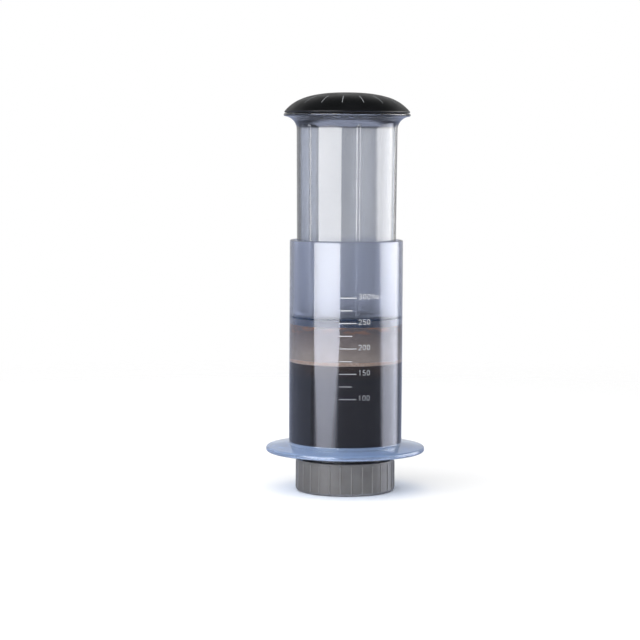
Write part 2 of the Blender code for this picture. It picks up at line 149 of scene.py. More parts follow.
def rounded(corners: Sequence[tuple[float, ...]], steps: int = 5) -> Profile:
    """Rounds the corners of a profile that give a fillet.

    A short flat stretch stays on each side of a fillet, so that its turn doesn't tilt the walls' shading.

    Args:
        corners: (radius, height) or (radius, height, fillet) of each corner.
        steps: chords in each fillet.

    Returns:
        The profile's points.
    """
    points: Profile = []
    for index, corner in enumerate(corners):
        here = Vector(corner[:2])
        if len(corner) < 3:
            points.append((here.x, here.y))
            continue
        fillet = corner[2]
        back = (Vector(corners[index - 1][:2]) - here).normalized()
        ahead = (Vector(corners[(index + 1) % len(corners)][:2]) - here).normalized()
        half = back.angle(ahead) / 2
        centre = here + (back + ahead).normalized() * (fillet / math.sin(half))
        reach = fillet / math.tan(half)
        start, end = here + back * reach - centre, here + ahead * reach - centre
        first = math.atan2(start.y, start.x)
        swing = math.remainder(math.atan2(end.y, end.x) - first, math.tau)
        flat = reach + FLAT_SHARE * fillet
        points.append(tuple(here + back * flat))
        points += arc((centre.x, centre.y), fillet, first, first + swing, steps)
        points.append(tuple(here + ahead * flat))
    return points


def evenly(count: int, phase: float = 0.0) -> list[float]:
    """Azimuths of an even pattern, in radians, with the phase of its first in degrees."""
    return [math.radians(phase) + math.tau * index / count for index in range(count)]


def columns_between(centres: Sequence[float], offsets: Sequence[float], between: int) -> list[float]:
    """Azimuths of a turned mesh's columns, close together at each rib and even between them.

    Args:
        centres: azimuths of the ribs, in rising order.
        offsets: azimuths of a rib's own columns from its centre, in rising order.
        between: columns between one rib and the next.

    Returns:
        The azimuths in rising order.
    """
    columns = []
    for index, centre in enumerate(centres):
        following = centres[index + 1] if index + 1 < len(centres) else centres[0] + math.tau
        columns += [centre + offset for offset in offsets]
        first, last = centre + offsets[-1], following + offsets[0]
        columns += [first + (last - first) * (step + 1) / (between + 1) for step in range(between)]
    return columns


def near(azimuth: float, centres: Sequence[float]) -> float:
    """Angle between an azimuth and the nearest of the centres, never negative."""
    return min(abs(math.remainder(azimuth - centre, math.tau)) for centre in centres)


def ramp(value: float, start: float, end: float) -> float:
    """Share of the way from start to end, which may be below it, held between 0 and 1."""
    return min(max((value - start) / (end - start), 0.0), 1.0)


def on_cylinder(radius: float, azimuth: float, height: float) -> tuple[float, float, float]:
    """Place in metres of a point whose radius and height are in millimetres."""
    return (radius * math.sin(azimuth) * MM, -radius * math.cos(azimuth) * MM, height * MM)


def fill(mesh: bpy.types.Mesh, shape: Shape) -> None:
    """Moves the geometry of a bmesh into a mesh, smooth but for its sharp edges.

    Args:
        mesh: the mesh that takes it.
        shape: the geometry, which is freed.
    """
    shape.to_mesh(mesh)
    shape.free()
    mesh.shade_smooth()
    mesh.set_sharp_from_angle(angle=math.radians(CREASE))


def new_piece(name: str, shape: Shape) -> Piece:
    """Turns a finished bmesh into an object of the scene.

    Args:
        name: the piece's name.
        shape: its geometry, which is freed.

    Returns:
        The object.
    """
    bmesh.ops.recalc_face_normals(shape, faces=shape.faces)
    mesh = bpy.data.meshes.new(name)
    fill(mesh, shape)
    piece = bpy.data.objects.new(name, mesh)
    bpy.context.scene.collection.objects.link(piece)
    return piece


def turn(name: str, profile: Profile, columns: Sequence[float], swell: Swell | None = None) -> Piece:
    """Turns a profile about the Z axis.

    Args:
        name: the piece's name.
        profile: (radius, height) points that run from axis to axis, or else round a closed loop.
        columns: azimuths of the mesh's columns.
        swell: what a point's radius gains, from its azimuth, radius and height.

    Returns:
        The object.
    """
    shape = bmesh.new()
    rows: list[list[bmesh.types.BMVert]] = []
    for radius, height in profile:
        if radius == 0:
            rows.append([shape.verts.new((0, 0, height * MM))])
            continue
        row = []
        for azimuth in columns:
            extra = swell(azimuth, radius, height) if swell else 0.0
            row.append(shape.verts.new(on_cylinder(radius + extra, azimuth, height)))
        rows.append(row)
    if profile[0][0] > 0:
        rows.append(rows[0])
    for low, high in zip(rows, rows[1:]):
        for here in range(len(columns)):
            there = (here + 1) % len(columns)
            corners = ((low, here), (low, there), (high, there), (high, here))
            # On the axis a row is one point, and a face there has three corners.
            shape.faces.new(list(dict.fromkeys(row[column % len(row)] for row, column in corners)))
    return new_piece(name, shape)


def skin(shape: Shape, loops: Sequence[Sequence[bmesh.types.BMVert]]) -> None:
    """Closes a bar over the loops of corners along it.

    Args:
        shape: the bmesh it goes into.
        loops: the corners of each loop, in the same order all along.
    """
    for here, there in zip(loops, loops[1:]):
        for corner in range(len(here)):
            following = (corner + 1) % len(here)
            shape.faces.new((here[corner], here[following], there[following], there[corner]))
    shape.faces.new(loops[0])
    shape.faces.new(loops[-1][::-1])


def add_block(
    shape: Shape, radii: Point, azimuths: Point, heights: Point, steps: int = 1, lift: Swell | None = None
) -> None:
    """Adds a closed block that follows the cylinder between two radii, azimuths and heights.

    Args:
        shape: the bmesh it goes into.
        radii: inner and outer radius.
        azimuths: first and last azimuth, in radians.
        heights: lower and upper height.
        steps: chords along its curve.
        lift: what a point's height gains, from its azimuth, radius and height.
    """
    loops = []
    for step in range(steps + 1):
        azimuth = azimuths[0] + (azimuths[1] - azimuths[0]) * step / steps
        loop = []
        for side, height in ((0, heights[0]), (1, heights[0]), (1, heights[1]), (0, heights[1])):
            extra = lift(azimuth, radii[side], height) if lift else 0.0
            loop.append(shape.verts.new(on_cylinder(radii[side], azimuth, height + extra)))
        loops.append(loop)
    skin(shape, loops)


def merge(piece: Piece, extra: Shape) -> None:
    """Adds the faces of a bmesh to a piece that hides where they meet.

    Args:
        piece: the object that takes them.
        extra: the geometry, which is freed.
    """
    bmesh.ops.recalc_face_normals(extra, faces=extra.faces)
    extra.from_mesh(piece.data)
    fill(piece.data, extra)


@dataclass(frozen=True)
class Finish:
    """A surface finish, whose subclasses say how its nodes are laid out."""

    name: str
    slot: Slot | None

    def material(self) -> bpy.types.Material:
        """Builds the material once and gives it back after that.

        Returns:
            The material.
        """
        found = bpy.data.materials.get(self.name)
        if found:
            return found
        material = bpy.data.materials.new(self.name)
        material.use_nodes = True
        tree = material.node_tree
        tree.nodes.clear()
        shaders = {"Surface": self.surface(tree, add_node(tree, "TexCoord").outputs["Object"])}
        filling = self.volume(tree)
        if filling:
            shaders["Volume"] = filling
        add_node(tree, "OutputMaterial", shaders)
        return material

    def surface(self, tree: Tree, place: Socket) -> Socket:
        """Lays out the shader. Each finish has its own.

        Args:
            tree: the material's nodes.
            place: the point on the piece, in metres.

        Returns:
            The shader's output.
        """
        raise NotImplementedError

    def volume(self, tree: Tree) -> Socket | None:
        """What fills the piece, where that shows. Most finishes have nothing here."""
        return None

    def dress(self, piece: Piece) -> None:
        """Puts the finish on a piece.

        Args:
            piece: the object.
        """
        piece.data.materials.clear()
        piece.data.materials.append(self.material())


def mottle(
    tree: Tree,
    place: Socket,
    size: float,
    low: float | Colour,
    high: float | Colour,
    detail: float = 3.0,
    spread: Point = (0.35, 0.65),
) -> Socket:
    """Mixes two values by a noise whose spots are size millimetres wide.

    Args:
        tree: the material's nodes.
        place: the point on the piece, in metres.
        size: width of a spot, in millimetres.
        low: number or colour at the noise's low end.
        high: number or colour at its high end.
        detail: octaves of the noise.
        spread: noise values at which low and high are reached.

    Returns:
        The mixed output.
    """
    noise = add_node(tree, "TexNoise", {"Vector": place, "Scale": 1 / (size * MM), "Detail": detail})
    share = {0: noise.outputs["Fac"], 1: spread[0], 2: spread[1]}
    if not isinstance(low, tuple):
        return add_node(tree, "MapRange", {**share, 3: low, 4: high}).outputs[0]
    mixed = {0: add_node(tree, "MapRange", share).outputs[0], 6: low, 7: high}
    return add_node(tree, "Mix", mixed, data_type="RGBA").outputs[2]


def relief(
    tree: Tree, place: Socket, size: float, strength: float, depth: float, detail: float = 2.0
) -> Socket:
    """Bumps the surface by a noise whose hollows are size millimetres wide.

    Args:
        tree: the material's nodes.
        place: the point on the piece, in metres.
        size: width of a hollow, in millimetres.
        strength: the bump's strength.
        depth: depth of a hollow, in millimetres.
        detail: octaves of the noise.

    Returns:
        The bumped normal.
    """
    noise = add_node(tree, "TexNoise", {"Vector": place, "Scale": 1 / (size * MM), "Detail": detail})
    inputs = {"Strength": strength, "Distance": depth * MM, "Height": noise.outputs["Fac"]}
    return add_node(tree, "Bump", inputs).outputs[0]


def climb(tree: Tree, place: Socket, start: float, end: float) -> Socket:
    """Share of the way from one height to another, both in millimetres, that a point has come."""
    height = add_node(tree, "SeparateXYZ", {0: place}).outputs[2]
    return add_node(tree, "MapRange", {0: height, 1: start * MM, 2: end * MM}).outputs[0]


def from_axis(tree: Tree, place: Socket) -> Socket:
    """Distance of a point from the Z axis, in metres."""
    level = add_node(tree, "VectorMath", {0: place, 1: (1.0, 1.0, 0.0)}, operation="MULTIPLY").outputs[0]
    return add_node(tree, "VectorMath", {0: level}, operation="LENGTH").outputs["Value"]


def past(tree: Tree, measure: Socket, edge: float, before: float, after: float | Socket) -> Socket:
    """Changes from one value to another where a measure in metres passes an edge in millimetres."""
    ends = {1: (edge - EDGE_BLUR) * MM, 2: (edge + EDGE_BLUR) * MM}
    return add_node(tree, "MapRange", {0: measure, **ends, 3: before, 4: after}).outputs[0]


@dataclass(frozen=True)
class MouldedCopolyester(Finish):
    """Clear copolyester with a smoky tint, injection moulded in a polished tool.

    To the eye it is a smooth, slightly wavy, clear wall whose tint deepens where walls overlap.
    The side of the tool's core, nearer the axis than the core radius, is satin and blurs what is behind it.
    Below the core's bottom, such as on a floor, the plastic is polished again.
    A tint depth of 0 leaves the thickness clear, and the tint is then in the faces alone.
    """

    tint: str
    tint_depth: float
    polish: float = 0.03
    scuff: float = 0.09
    face: str = "ffffff"
    flow_face: str = "f6f7f9"
    shade: str = "ffffff"
    clarity: float = 0.99
    core_radius: float = 0.0
    core_haze: float = 0.2
    core_bottom: float = 0.0
    flow_mm: float = 16.0
    sink_mm: float = 14.0
    sink_depth: float = 0.4
    scratch_mm: float = 0.9

    def surface(self, tree: Tree, place: Socket) -> Socket:
        """Clear, refracting shader that lamps pass through, with flow marks in its tint and fine scuffs.

        Args:
            tree: the material's nodes.
            place: the point on the piece, in metres.

        Returns:
            The shader's output.
        """
        # Flow marks run along the moulding direction, so the pattern is drawn out along Z.
        along = add_node(tree, "VectorMath", {0: place, 1: (1.0, 1.0, 0.25)}, operation="MULTIPLY").outputs[0]
        outside = mottle(
            tree, place, self.scratch_mm, self.polish, self.scuff, detail=4.0, spread=(0.45, 0.72)
        )
        core = past(tree, from_axis(tree, place), self.core_radius, self.core_haze, outside)
        height = add_node(tree, "SeparateXYZ", {0: place}).outputs[2]
        inputs = {
            "Base Color": mottle(tree, along, self.flow_mm, linear(self.face), linear(self.flow_face)),
            "Roughness": past(tree, height, self.core_bottom, outside, core),
            "Normal": relief(tree, along, self.sink_mm, strength=0.10, depth=self.sink_depth, detail=1.0),
            "IOR": 1.52,
            "Transmission Weight": self.clarity,
        }
        shader = add_node(tree, "BsdfPrincipled", inputs).outputs[0]
        clear = add_node(tree, "BsdfTransparent", {"Color": linear(self.shade)}).outputs[0]
        shadow = add_node(tree, "LightPath").outputs["Is Shadow Ray"]
        return add_node(tree, "MixShader", {0: shadow, 1: shader, 2: clear}).outputs[0]

    def volume(self, tree: Tree) -> Socket | None:
        """Smoky tint that deepens with the plastic's thickness.

        Args:
            tree: the material's nodes.

        Returns:
            The absorption's output, or None where only the faces are tinted.
        """
        if not self.tint_depth:
            return None
        losses = [-math.log(value) / (self.tint_depth * MM) for value in linear(self.tint)[:3]]
        # A colour's parts stay under 1, so the density is a little over the strongest loss.
        density = max(losses) * 1.02
        colour = (*(1 - loss / density for loss in losses), 1.0)
        return add_node(tree, "VolumeAbsorption", {"Color": colour, "Density": density}).outputs[0]


@dataclass(frozen=True)
class Grained(Finish):
    """An opaque surface whose colour and gloss vary a little over a fine relief.

    What stands out past the crest radius gets the lighter crest colour, a painted highlight along the rib
    crests.
    """

    colour: str
    worn_colour: str
    gloss: float
    worn_gloss: float
    specular: float = 0.5
    ior: float = 1.49
    wear_mm: float = 11.0
    wear_detail: float = 3.0
    wear_spread: Point = (0.35, 0.65)
    gloss_mm: float = 6.0
    grain_mm: float = 0.35
    grain_strength: float = 0.35
    grain_depth: float = 0.03
    # Radius past which the rib crests get a painted highlight, and the colour of that highlight.
    crest_radius: float = 0.0
    crest_colour: str = "7b7977"

    def surface(self, tree: Tree, place: Socket) -> Socket:
        """Satin or dull shader with a grain.

        Args:
            tree: the material's nodes.
            place: the point on the piece, in metres.

        Returns:
            The shader's output.
        """
        fresh, worn = linear(self.colour), linear(self.worn_colour)
        colour = mottle(tree, place, self.wear_mm, fresh, worn, self.wear_detail, self.wear_spread)
        # Painted highlight: the crests past the radius are lightened as if they caught the light.
        if self.crest_radius:
            highlighted_crests = past(tree, from_axis(tree, place), self.crest_radius, 0.0, 1.0)
            mixed = {0: highlighted_crests, 6: colour, 7: linear(self.crest_colour)}
            colour = add_node(tree, "Mix", mixed, data_type="RGBA").outputs[2]
        inputs = {
            "Base Color": colour,
            "Roughness": mottle(tree, place, self.gloss_mm, self.gloss, self.worn_gloss),
            "Normal": relief(tree, place, self.grain_mm, self.grain_strength, self.grain_depth),
            "IOR": self.ior,
            "Specular IOR Level": self.specular,
        }
        return add_node(tree, "BsdfPrincipled", inputs).outputs[0]


@dataclass(frozen=True)
class MouldedPlastic(Grained):
    """Opaque polypropylene or ABS, injection moulded in a spark-eroded tool.

    To the eye it is an even colour with a fine satin grain and softer gloss where it has been rubbed. The
    real grain is about 0.1 mm, too fine to show, so it is drawn three times as coarse.
    """


@dataclass(frozen=True)
class SiliconeRubber(Grained):
    """Silicone rubber, compression moulded.

    To the eye it is soft and slightly dusty, with a broad dull sheen and fine lint on its lips.
    """

    gloss: float = 0.42
    worn_gloss: float = 0.6
    ior: float = 1.41
    wear_mm: float = 3.5
    wear_detail: float = 5.0
    wear_spread: Point = (0.45, 0.8)
    gloss_mm: float = 2.0
    grain_mm: float = 0.8
    grain_strength: float = 0.2
    grain_depth: float = 0.05


@dataclass(frozen=True)
class EtchedSteel(Finish):
    """Stainless steel sheet, photo-etched with fine holes and left matt.

    To the eye it is a grey metal disc with a dotted grain of holes, painted dark as the shade inside them.
    """

    colour: str = "b9b7b2"
    # Painted shade inside the holes.
    hole_colour: str = "2b2b2b"
    pitch_mm: float = 1.1
    etch_depth: float = 0.1
    sheen_mm: float = 2.0

    def surface(self, tree: Tree, place: Socket) -> Socket:
        """Metal shader with a dotted relief.

        Args:
            tree: the material's nodes.
            place: the point on the piece, in metres.

        Returns:
            The shader's output.
        """
        # The real holes are 0.3 mm at 0.6 mm pitch, so the dots between the modelled holes are drawn larger.
        # Each dot is painted dark, a painted shade for the inside of a hole.
        grid = {"Vector": place, "Scale": 1 / (self.pitch_mm * MM), "Randomness": 0.0}
        cells = add_node(tree, "TexVoronoi", grid).outputs["Distance"]
        dots = add_node(tree, "MapRange", {0: cells, 1: 0.25, 2: 0.35}).outputs[0]
        mixed = {0: dots, 6: linear(self.hole_colour), 7: linear(self.colour)}
        etched = {"Strength": 0.3, "Distance": self.etch_depth * MM, "Height": dots}
        inputs = {
            "Base Color": add_node(tree, "Mix", mixed, data_type="RGBA").outputs[2],
            "Roughness": mottle(tree, place, self.sheen_mm, low=0.28, high=0.42),
            "Normal": add_node(tree, "Bump", etched).outputs[0],
            "Metallic": 1.0,
        }
        return add_node(tree, "BsdfPrincipled", inputs).outputs[0]


@dataclass(frozen=True)
class FilterPaper(Finish):
    """Unglazed paper, wet laid.

    To the eye it is matt and faintly fibrous.
    """

    colour: str = "d8ccb4"
    fibre_colour: str = "b49a78"
    cloud_mm: float = 1.2
    fibre_mm: float = 0.5
    fibre_depth: float = 0.05

    def surface(self, tree: Tree, place: Socket) -> Socket:
        """Matt shader with fibres.

        Args:
            tree: the material's nodes.
            place: the point on the piece, in metres.

        Returns:
            The shader's output.
        """
        fibrous = linear(self.fibre_colour)
        inputs = {
            "Base Color": mottle(tree, place, self.cloud_mm, linear(self.colour), fibrous, detail=6.0),
            "Roughness": 0.9,
            "Normal": relief(tree, place, self.fibre_mm, strength=0.4, depth=self.fibre_depth),
        }
        return add_node(tree, "BsdfPrincipled", inputs).outputs[0]


@dataclass(frozen=True)
class PadInk(Finish):
    """Pad-printed ink.

    To the eye it is a thin matt layer, a little worn so that it is thinner in places.
    """

    colour: str
    worn_colour: str
    fresh_height: float
    worn_height: float
    spot_mm: float = 1.0
    sheen_mm: float = 0.8

    def surface(self, tree: Tree, place: Socket) -> Socket:
        """Matt shader that is more worn towards one height, with worn spots everywhere.

        Args:
            tree: the material's nodes.
            place: the point on the piece, in metres.

        Returns:
            The shader's output.
        """
        wear = climb(tree, place, self.fresh_height, self.worn_height)
        spots = mottle(tree, place, self.spot_mm, low=-0.12, high=0.12, detail=5.0)
        share = add_node(tree, "Math", {0: wear, 1: spots}, use_clamp=True).outputs[0]
        mixed = {0: share, 6: linear(self.colour), 7: linear(self.worn_colour)}
        inputs = {
            "Base Color": add_node(tree, "Mix", mixed, data_type="RGBA").outputs[2],
            "Roughness": mottle(tree, place, self.sheen_mm, low=0.45, high=0.65),
            "IOR": 1.5,
        }
        return add_node(tree, "BsdfPrincipled", inputs).outputs[0]


@dataclass(frozen=True)
class BrewedCoffee(Finish):
    """Brewed coffee, nearly opaque in this depth.

    To the eye it is a black-brown body that turns a little browner near its top.
    """

    deep: str
    shallow: str
    top: float
    browning: float = 9.0
    swirl_mm: float = 7.0

    def surface(self, tree: Tree, place: Socket) -> Socket:
        """Dark liquid shader, browner towards its top.

        Args:
            tree: the material's nodes.
            place: the point on the piece, in metres.

        Returns:
            The shader's output.
        """
        rise = climb(tree, place, self.top - self.browning, self.top)
        swirl = mottle(tree, place, self.swirl_mm, low=0.6, high=1.4)
        share = add_node(tree, "Math", {0: rise, 1: swirl}, operation="MULTIPLY", use_clamp=True).outputs[0]
        mixed = {0: share, 6: linear(self.deep), 7: linear(self.shallow)}
        colour = add_node(tree, "Mix", mixed, data_type="RGBA").outputs[2]
        inputs = {"Base Color": colour, "Roughness": 0.25, "IOR": 1.33, "Specular IOR Level": 0.2}
        return add_node(tree, "BsdfPrincipled", inputs).outputs[0]


@dataclass(frozen=True)
class CoffeeFoam(Finish):
    """Foam of fine bubbles on brewed coffee.

    To the eye it is a pale brown ring with darker bubble walls.
    """

    colour: str
    wall_colour: str
    bubble_mm: float = 1.3
    bubble_depth: float = 0.2

    def surface(self, tree: Tree, place: Socket) -> Socket:
        """Matt shader with a bubble pattern.

        Args:
            tree: the material's nodes.
            place: the point on the piece, in metres.

        Returns:
            The shader's output.
        """
        cells = {"Vector": place, "Scale": 1 / (self.bubble_mm * MM)}
        bubbles = add_node(tree, "TexVoronoi", cells).outputs["Distance"]
        share = add_node(tree, "MapRange", {0: bubbles, 1: 0.15, 2: 0.65}).outputs[0]
        mixed = {0: share, 6: linear(self.colour), 7: linear(self.wall_colour)}
        domed = {"Strength": 0.3, "Distance": self.bubble_depth * MM, "Height": bubbles}
        inputs = {
            "Base Color": add_node(tree, "Mix", mixed, data_type="RGBA").outputs[2],
            "Roughness": 0.5,
            "Normal": add_node(tree, "Bump", domed).outputs[0],
            "IOR": 1.33,
        }
        return add_node(tree, "BsdfPrincipled", inputs).outputs[0]


@dataclass(frozen=True)
class WetFilm(Finish):
    """Film of coffee and foam left on the wall above the liquid.

    To the eye it is a hazy brown-grey layer, darker where it has drained, with a brown smear at its top.
    """

    high_colour: str
    low_colour: str
    smear_colour: str
    low: float
    top: float
    smear: float
    cover: float
    fray_mm: float = 3.2
    cloud_mm: float = 5.0

    def surface(self, tree: Tree, place: Socket) -> Socket:
        """Hazy shader that lets part of what is behind it through.

        Args:
            tree: the material's nodes.
            place: the point on the piece, in metres.

        Returns:
            The shader's output.
        """
        drained = climb(tree, place, self.low, self.top - self.smear)
        ends = {0: drained, 6: linear(self.low_colour), 7: linear(self.high_colour)}
        haze_colour = add_node(tree, "Mix", ends, data_type="RGBA").outputs[2]
        # The plunger wipes round the wall, so the smear is drawn out along it, and it frays below.
        wiped = add_node(tree, "VectorMath", {0: place, 1: (0.5, 0.5, 1.6)}, operation="MULTIPLY").outputs[0]
        fray = mottle(tree, wiped, self.fray_mm, low=-0.7, high=0.9, detail=4.0)
        rise = climb(tree, place, self.top - 2 * self.smear, self.top - 0.5 * self.smear)
        reach = add_node(tree, "Math", {0: rise, 1: fray}, operation="MULTIPLY", use_clamp=True).outputs[0]
        smeared = {0: reach, 6: haze_colour, 7: linear(self.smear_colour)}
        colour = add_node(tree, "Mix", smeared, data_type="RGBA").outputs[2]
        inputs = {"Base Color": colour, "Roughness": 0.12, "Specular IOR Level": 0.45}
        haze = add_node(tree, "BsdfPrincipled", inputs).outputs[0]
        cover = mottle(tree, place, self.cloud_mm, self.cover - 0.05, self.cover + 0.05)
        clear = add_node(tree, "BsdfTransparent").outputs[0]
        return add_node(tree, "MixShader", {0: cover, 1: clear, 2: haze}).outputs[0]


@dataclass(frozen=True)
class MattPaint(Finish):
    """Matt white paint of the studio floor, which thins out to nothing far from the object."""

    colour: str
    solid_to: float
    gone_at: float

    def surface(self, tree: Tree, place: Socket) -> Socket:
        """Matt shader that fades into the background.

        Args:
            tree: the material's nodes.
            place: the point on the floor, in metres.

        Returns:
            The shader's output.
        """
        reach = add_node(tree, "VectorMath", {0: place}, operation="LENGTH").outputs["Value"]
        fade = {0: reach, 1: self.solid_to, 2: self.gone_at, 3: 1.0, 4: 0.0}
        share = add_node(tree, "MapRange", fade).outputs[0]
        inputs = {"Base Color": linear(self.colour), "Roughness": 1.0, "Specular IOR Level": 0.0}
        paint = add_node(tree, "BsdfPrincipled", inputs).outputs[0]
        clear = add_node(tree, "BsdfTransparent").outputs[0]
        return add_node(tree, "MixShader", {0: share, 1: clear, 2: paint}).outputs[0]


@dataclass(frozen=True)
class LampCloth(Finish):
    """Diffuser cloth of a softbox, whose light fades over its upright edges and its foot.

    The fades over the near and the far edge each have a width at the foot and one above it.
    From the foot's first height to its second, the light rises from the share that it gives third.
    Smooth plastic mirrors the radiance, while matt pieces get a plainer level of their own.
    """

    radiance: float
    matt_radiance: float
    half_width: float
    near_fade: Point
    far_fade: Point
    foot: tuple[float, float, float]
    lean: float = 0.0
    mirror_colour: str = "faf9f7"
    foot_colour: str = "e2e6f8"
    fade_heights: Point = (-0.16, -0.055)
    cool_heights: Point = (-0.10, 0.02)

    def surface(self, tree: Tree, place: Socket) -> Socket:
        """Light between two edges, the nearer of which may lean.

        Args:
            tree: the material's nodes.
            place: the point on the cloth, in metres, X across and Z up.

        Returns:
            The shader's output.
        """
        parts = add_node(tree, "SeparateXYZ", {0: place}).outputs
        leaned = {0: parts[2], 1: self.lean, 2: parts[0]}
        across = add_node(tree, "Math", leaned, operation="MULTIPLY_ADD").outputs[0]
        level = {0: parts[2], 1: self.fade_heights[0], 2: self.fade_heights[1]}
        near_fade, far_fade = (
            add_node(tree, "MapRange", {**level, 3: fade[0], 4: fade[1]}).outputs[0]
            for fade in (self.near_fade, self.far_fade)
        )
        half = self.half_width
        near_end = add_node(tree, "Math", {0: near_fade, 1: half}, operation="SUBTRACT").outputs[0]
        far_start = add_node(tree, "Math", {0: half, 1: far_fade}, operation="SUBTRACT").outputs[0]
        near_side = {0: across, 1: -half, 2: near_end}
        far_side = {0: parts[0], 1: far_start, 2: half, 3: 1.0, 4: 0.0}
        rise, fall = (add_node(tree, "MapRange", side, **SMOOTH).outputs[0] for side in (near_side, far_side))
        upright = add_node(tree, "Math", {0: rise, 1: fall}, operation="MULTIPLY").outputs[0]
        up = {0: parts[2], 1: self.foot[0], 2: self.foot[1], 3: self.foot[2]}
        foot = add_node(tree, "MapRange", up).outputs[0]
        path = add_node(tree, "LightPath").outputs
        mirror = path["Is Glossy Ray"]
        radiance = add_node(tree, "Mix", {0: mirror, 2: self.matt_radiance, 3: self.radiance}).outputs[0]
        rising = {0: parts[2], 1: self.cool_heights[0], 2: self.cool_heights[1]}
        cooler = add_node(tree, "MapRange", rising).outputs[0]
        mirrored = {0: cooler, 6: linear(self.foot_colour), 7: linear(self.mirror_colour)}
        cool = add_node(tree, "Mix", mirrored, data_type="RGBA").outputs[2]
        colour = add_node(tree, "Mix", {0: mirror, 6: WHITE, 7: cool}, data_type="RGBA").outputs[2]
        strength = add_node(tree, "Math", {0: foot, 1: radiance}, operation="MULTIPLY").outputs[0]
        lit = add_node(tree, "Emission", {"Color": colour, "Strength": strength}).outputs[0]
        # Clear walls mirror the cloth on both faces, but it isn't seen through them or past its edges.
        depth = {0: path["Glossy Depth"], 1: HALF_BOUNCE}
        turned = add_node(tree, "Math", depth, operation="GREATER_THAN").outputs[0]
        passed = {0: path["Is Transmission Ray"], 1: turned}
        straight = add_node(tree, "Math", passed, operation="SUBTRACT", use_clamp=True).outputs[0]
        faded = add_node(tree, "Math", {0: 1.0, 1: upright}, operation="SUBTRACT").outputs[0]
        hidden = add_node(tree, "Math", {0: straight, 1: faded}, operation="MAXIMUM").outputs[0]
        clear = add_node(tree, "BsdfTransparent").outputs[0]
        return add_node(tree, "MixShader", {0: hidden, 1: lit, 2: clear}).outputs[0]


CLEAR_CHAMBER = MouldedCopolyester(
    "chamber_copolyester", Slot.CLEAR_PLASTIC, "9ba6c6", 10.0, core_radius=33.3, core_haze=0.3
)
CLEAR_TUBE = MouldedCopolyester(
    "tube_copolyester", Slot.CLEAR_PLASTIC, "90949e", 5.0, core_radius=29.2, core_haze=0.24, core_bottom=110.9
)
# The tube's foot is seen edge on through its whole width, so its tint is spread over more plastic.
CLEAR_FOOT = MouldedCopolyester("tube_foot_copolyester", Slot.CLEAR_PLASTIC, "90949e", 60.0)
# The thick flange gathers light at its edge and scatters it, so it looks milky rather than dark.
MILKY_FLANGE = MouldedCopolyester(
    "flange_copolyester", Slot.CLEAR_PLASTIC, "ffffff", 0.0, 0.05, 0.14, "b6cae8", "a9c0e4", "ebeef3", 0.72
)
BLACK_DOME = MouldedPlastic(
    "satin_black_abs", Slot.BLACK_PLASTIC, "0b0c0d", "101113", 0.34, 0.42, specular=0.22
)
BLACK_RING = MouldedPlastic("ring_elastomer", Slot.BLACK_PLASTIC, "2b2c2e", "333436", 0.5, 0.6)
# The grip-rib crests of the cap get a painted highlight.
GREY_CAP = MouldedPlastic(
    "grey_polypropylene", Slot.GREY_PLASTIC, "63605d", "6c6a67", 0.32, 0.42, specular=0.25, crest_radius=30.25
)
SEAL_RUBBER = SiliconeRubber("seal_silicone_rubber", Slot.SEAL_SILICONE, "052a48", "0b3456", specular=0.2)
GREY_RUBBER = SiliconeRubber("grey_silicone_rubber", Slot.GREY_SILICONE, "8f9093", "9d9ea0")
SCREEN_METAL = EtchedSteel("etched_stainless_steel", Slot.SCREEN_STEEL)
PAPER = FilterPaper("filter_paper", Slot.FILTER_PAPER)
WHITE_INK = PadInk("white_scale_ink", None, "ffffff", "8a8d96", 118.0, 56.0)
DIAL_INK = PadInk("grey_dial_ink", None, "8d8f92", "77797c", 243.0, 236.0)
COFFEE = BrewedCoffee("brewed_coffee", None, "171318", "3a2a20", 79.0)
FOAM = CoffeeFoam("coffee_foam", None, "f6dcc2", "dcb999")
FILM = WetFilm("wet_coffee_film", None, "82746b", "cbb7a0", "b98462", 82.0, 102.2, 3.0, 0.93)
LEFT_CLOTH = LampCloth("softbox_left", None, 9.6, 2.5, 0.5, (0.28, 0.02), (0.42, 0.02), (-0.19, 0.0, 0.63))
RIGHT_CLOTH = LampCloth(
    "softbox_right", None, 7.9, 0.5, 0.65, (0.26, 0.26), (0.42, 0.42), (-0.19, 0.13, 0.73), lean=0.6
)
DIM_CLOTH = LampCloth(
    "softbox_dim", None, 2.2, 0.2, 0.55, (0.25, 0.25), (0.04, 0.04), (-0.04, 0.09, 0.33),
    mirror_colour="dfe8ff", foot_colour="cfdcff",
)


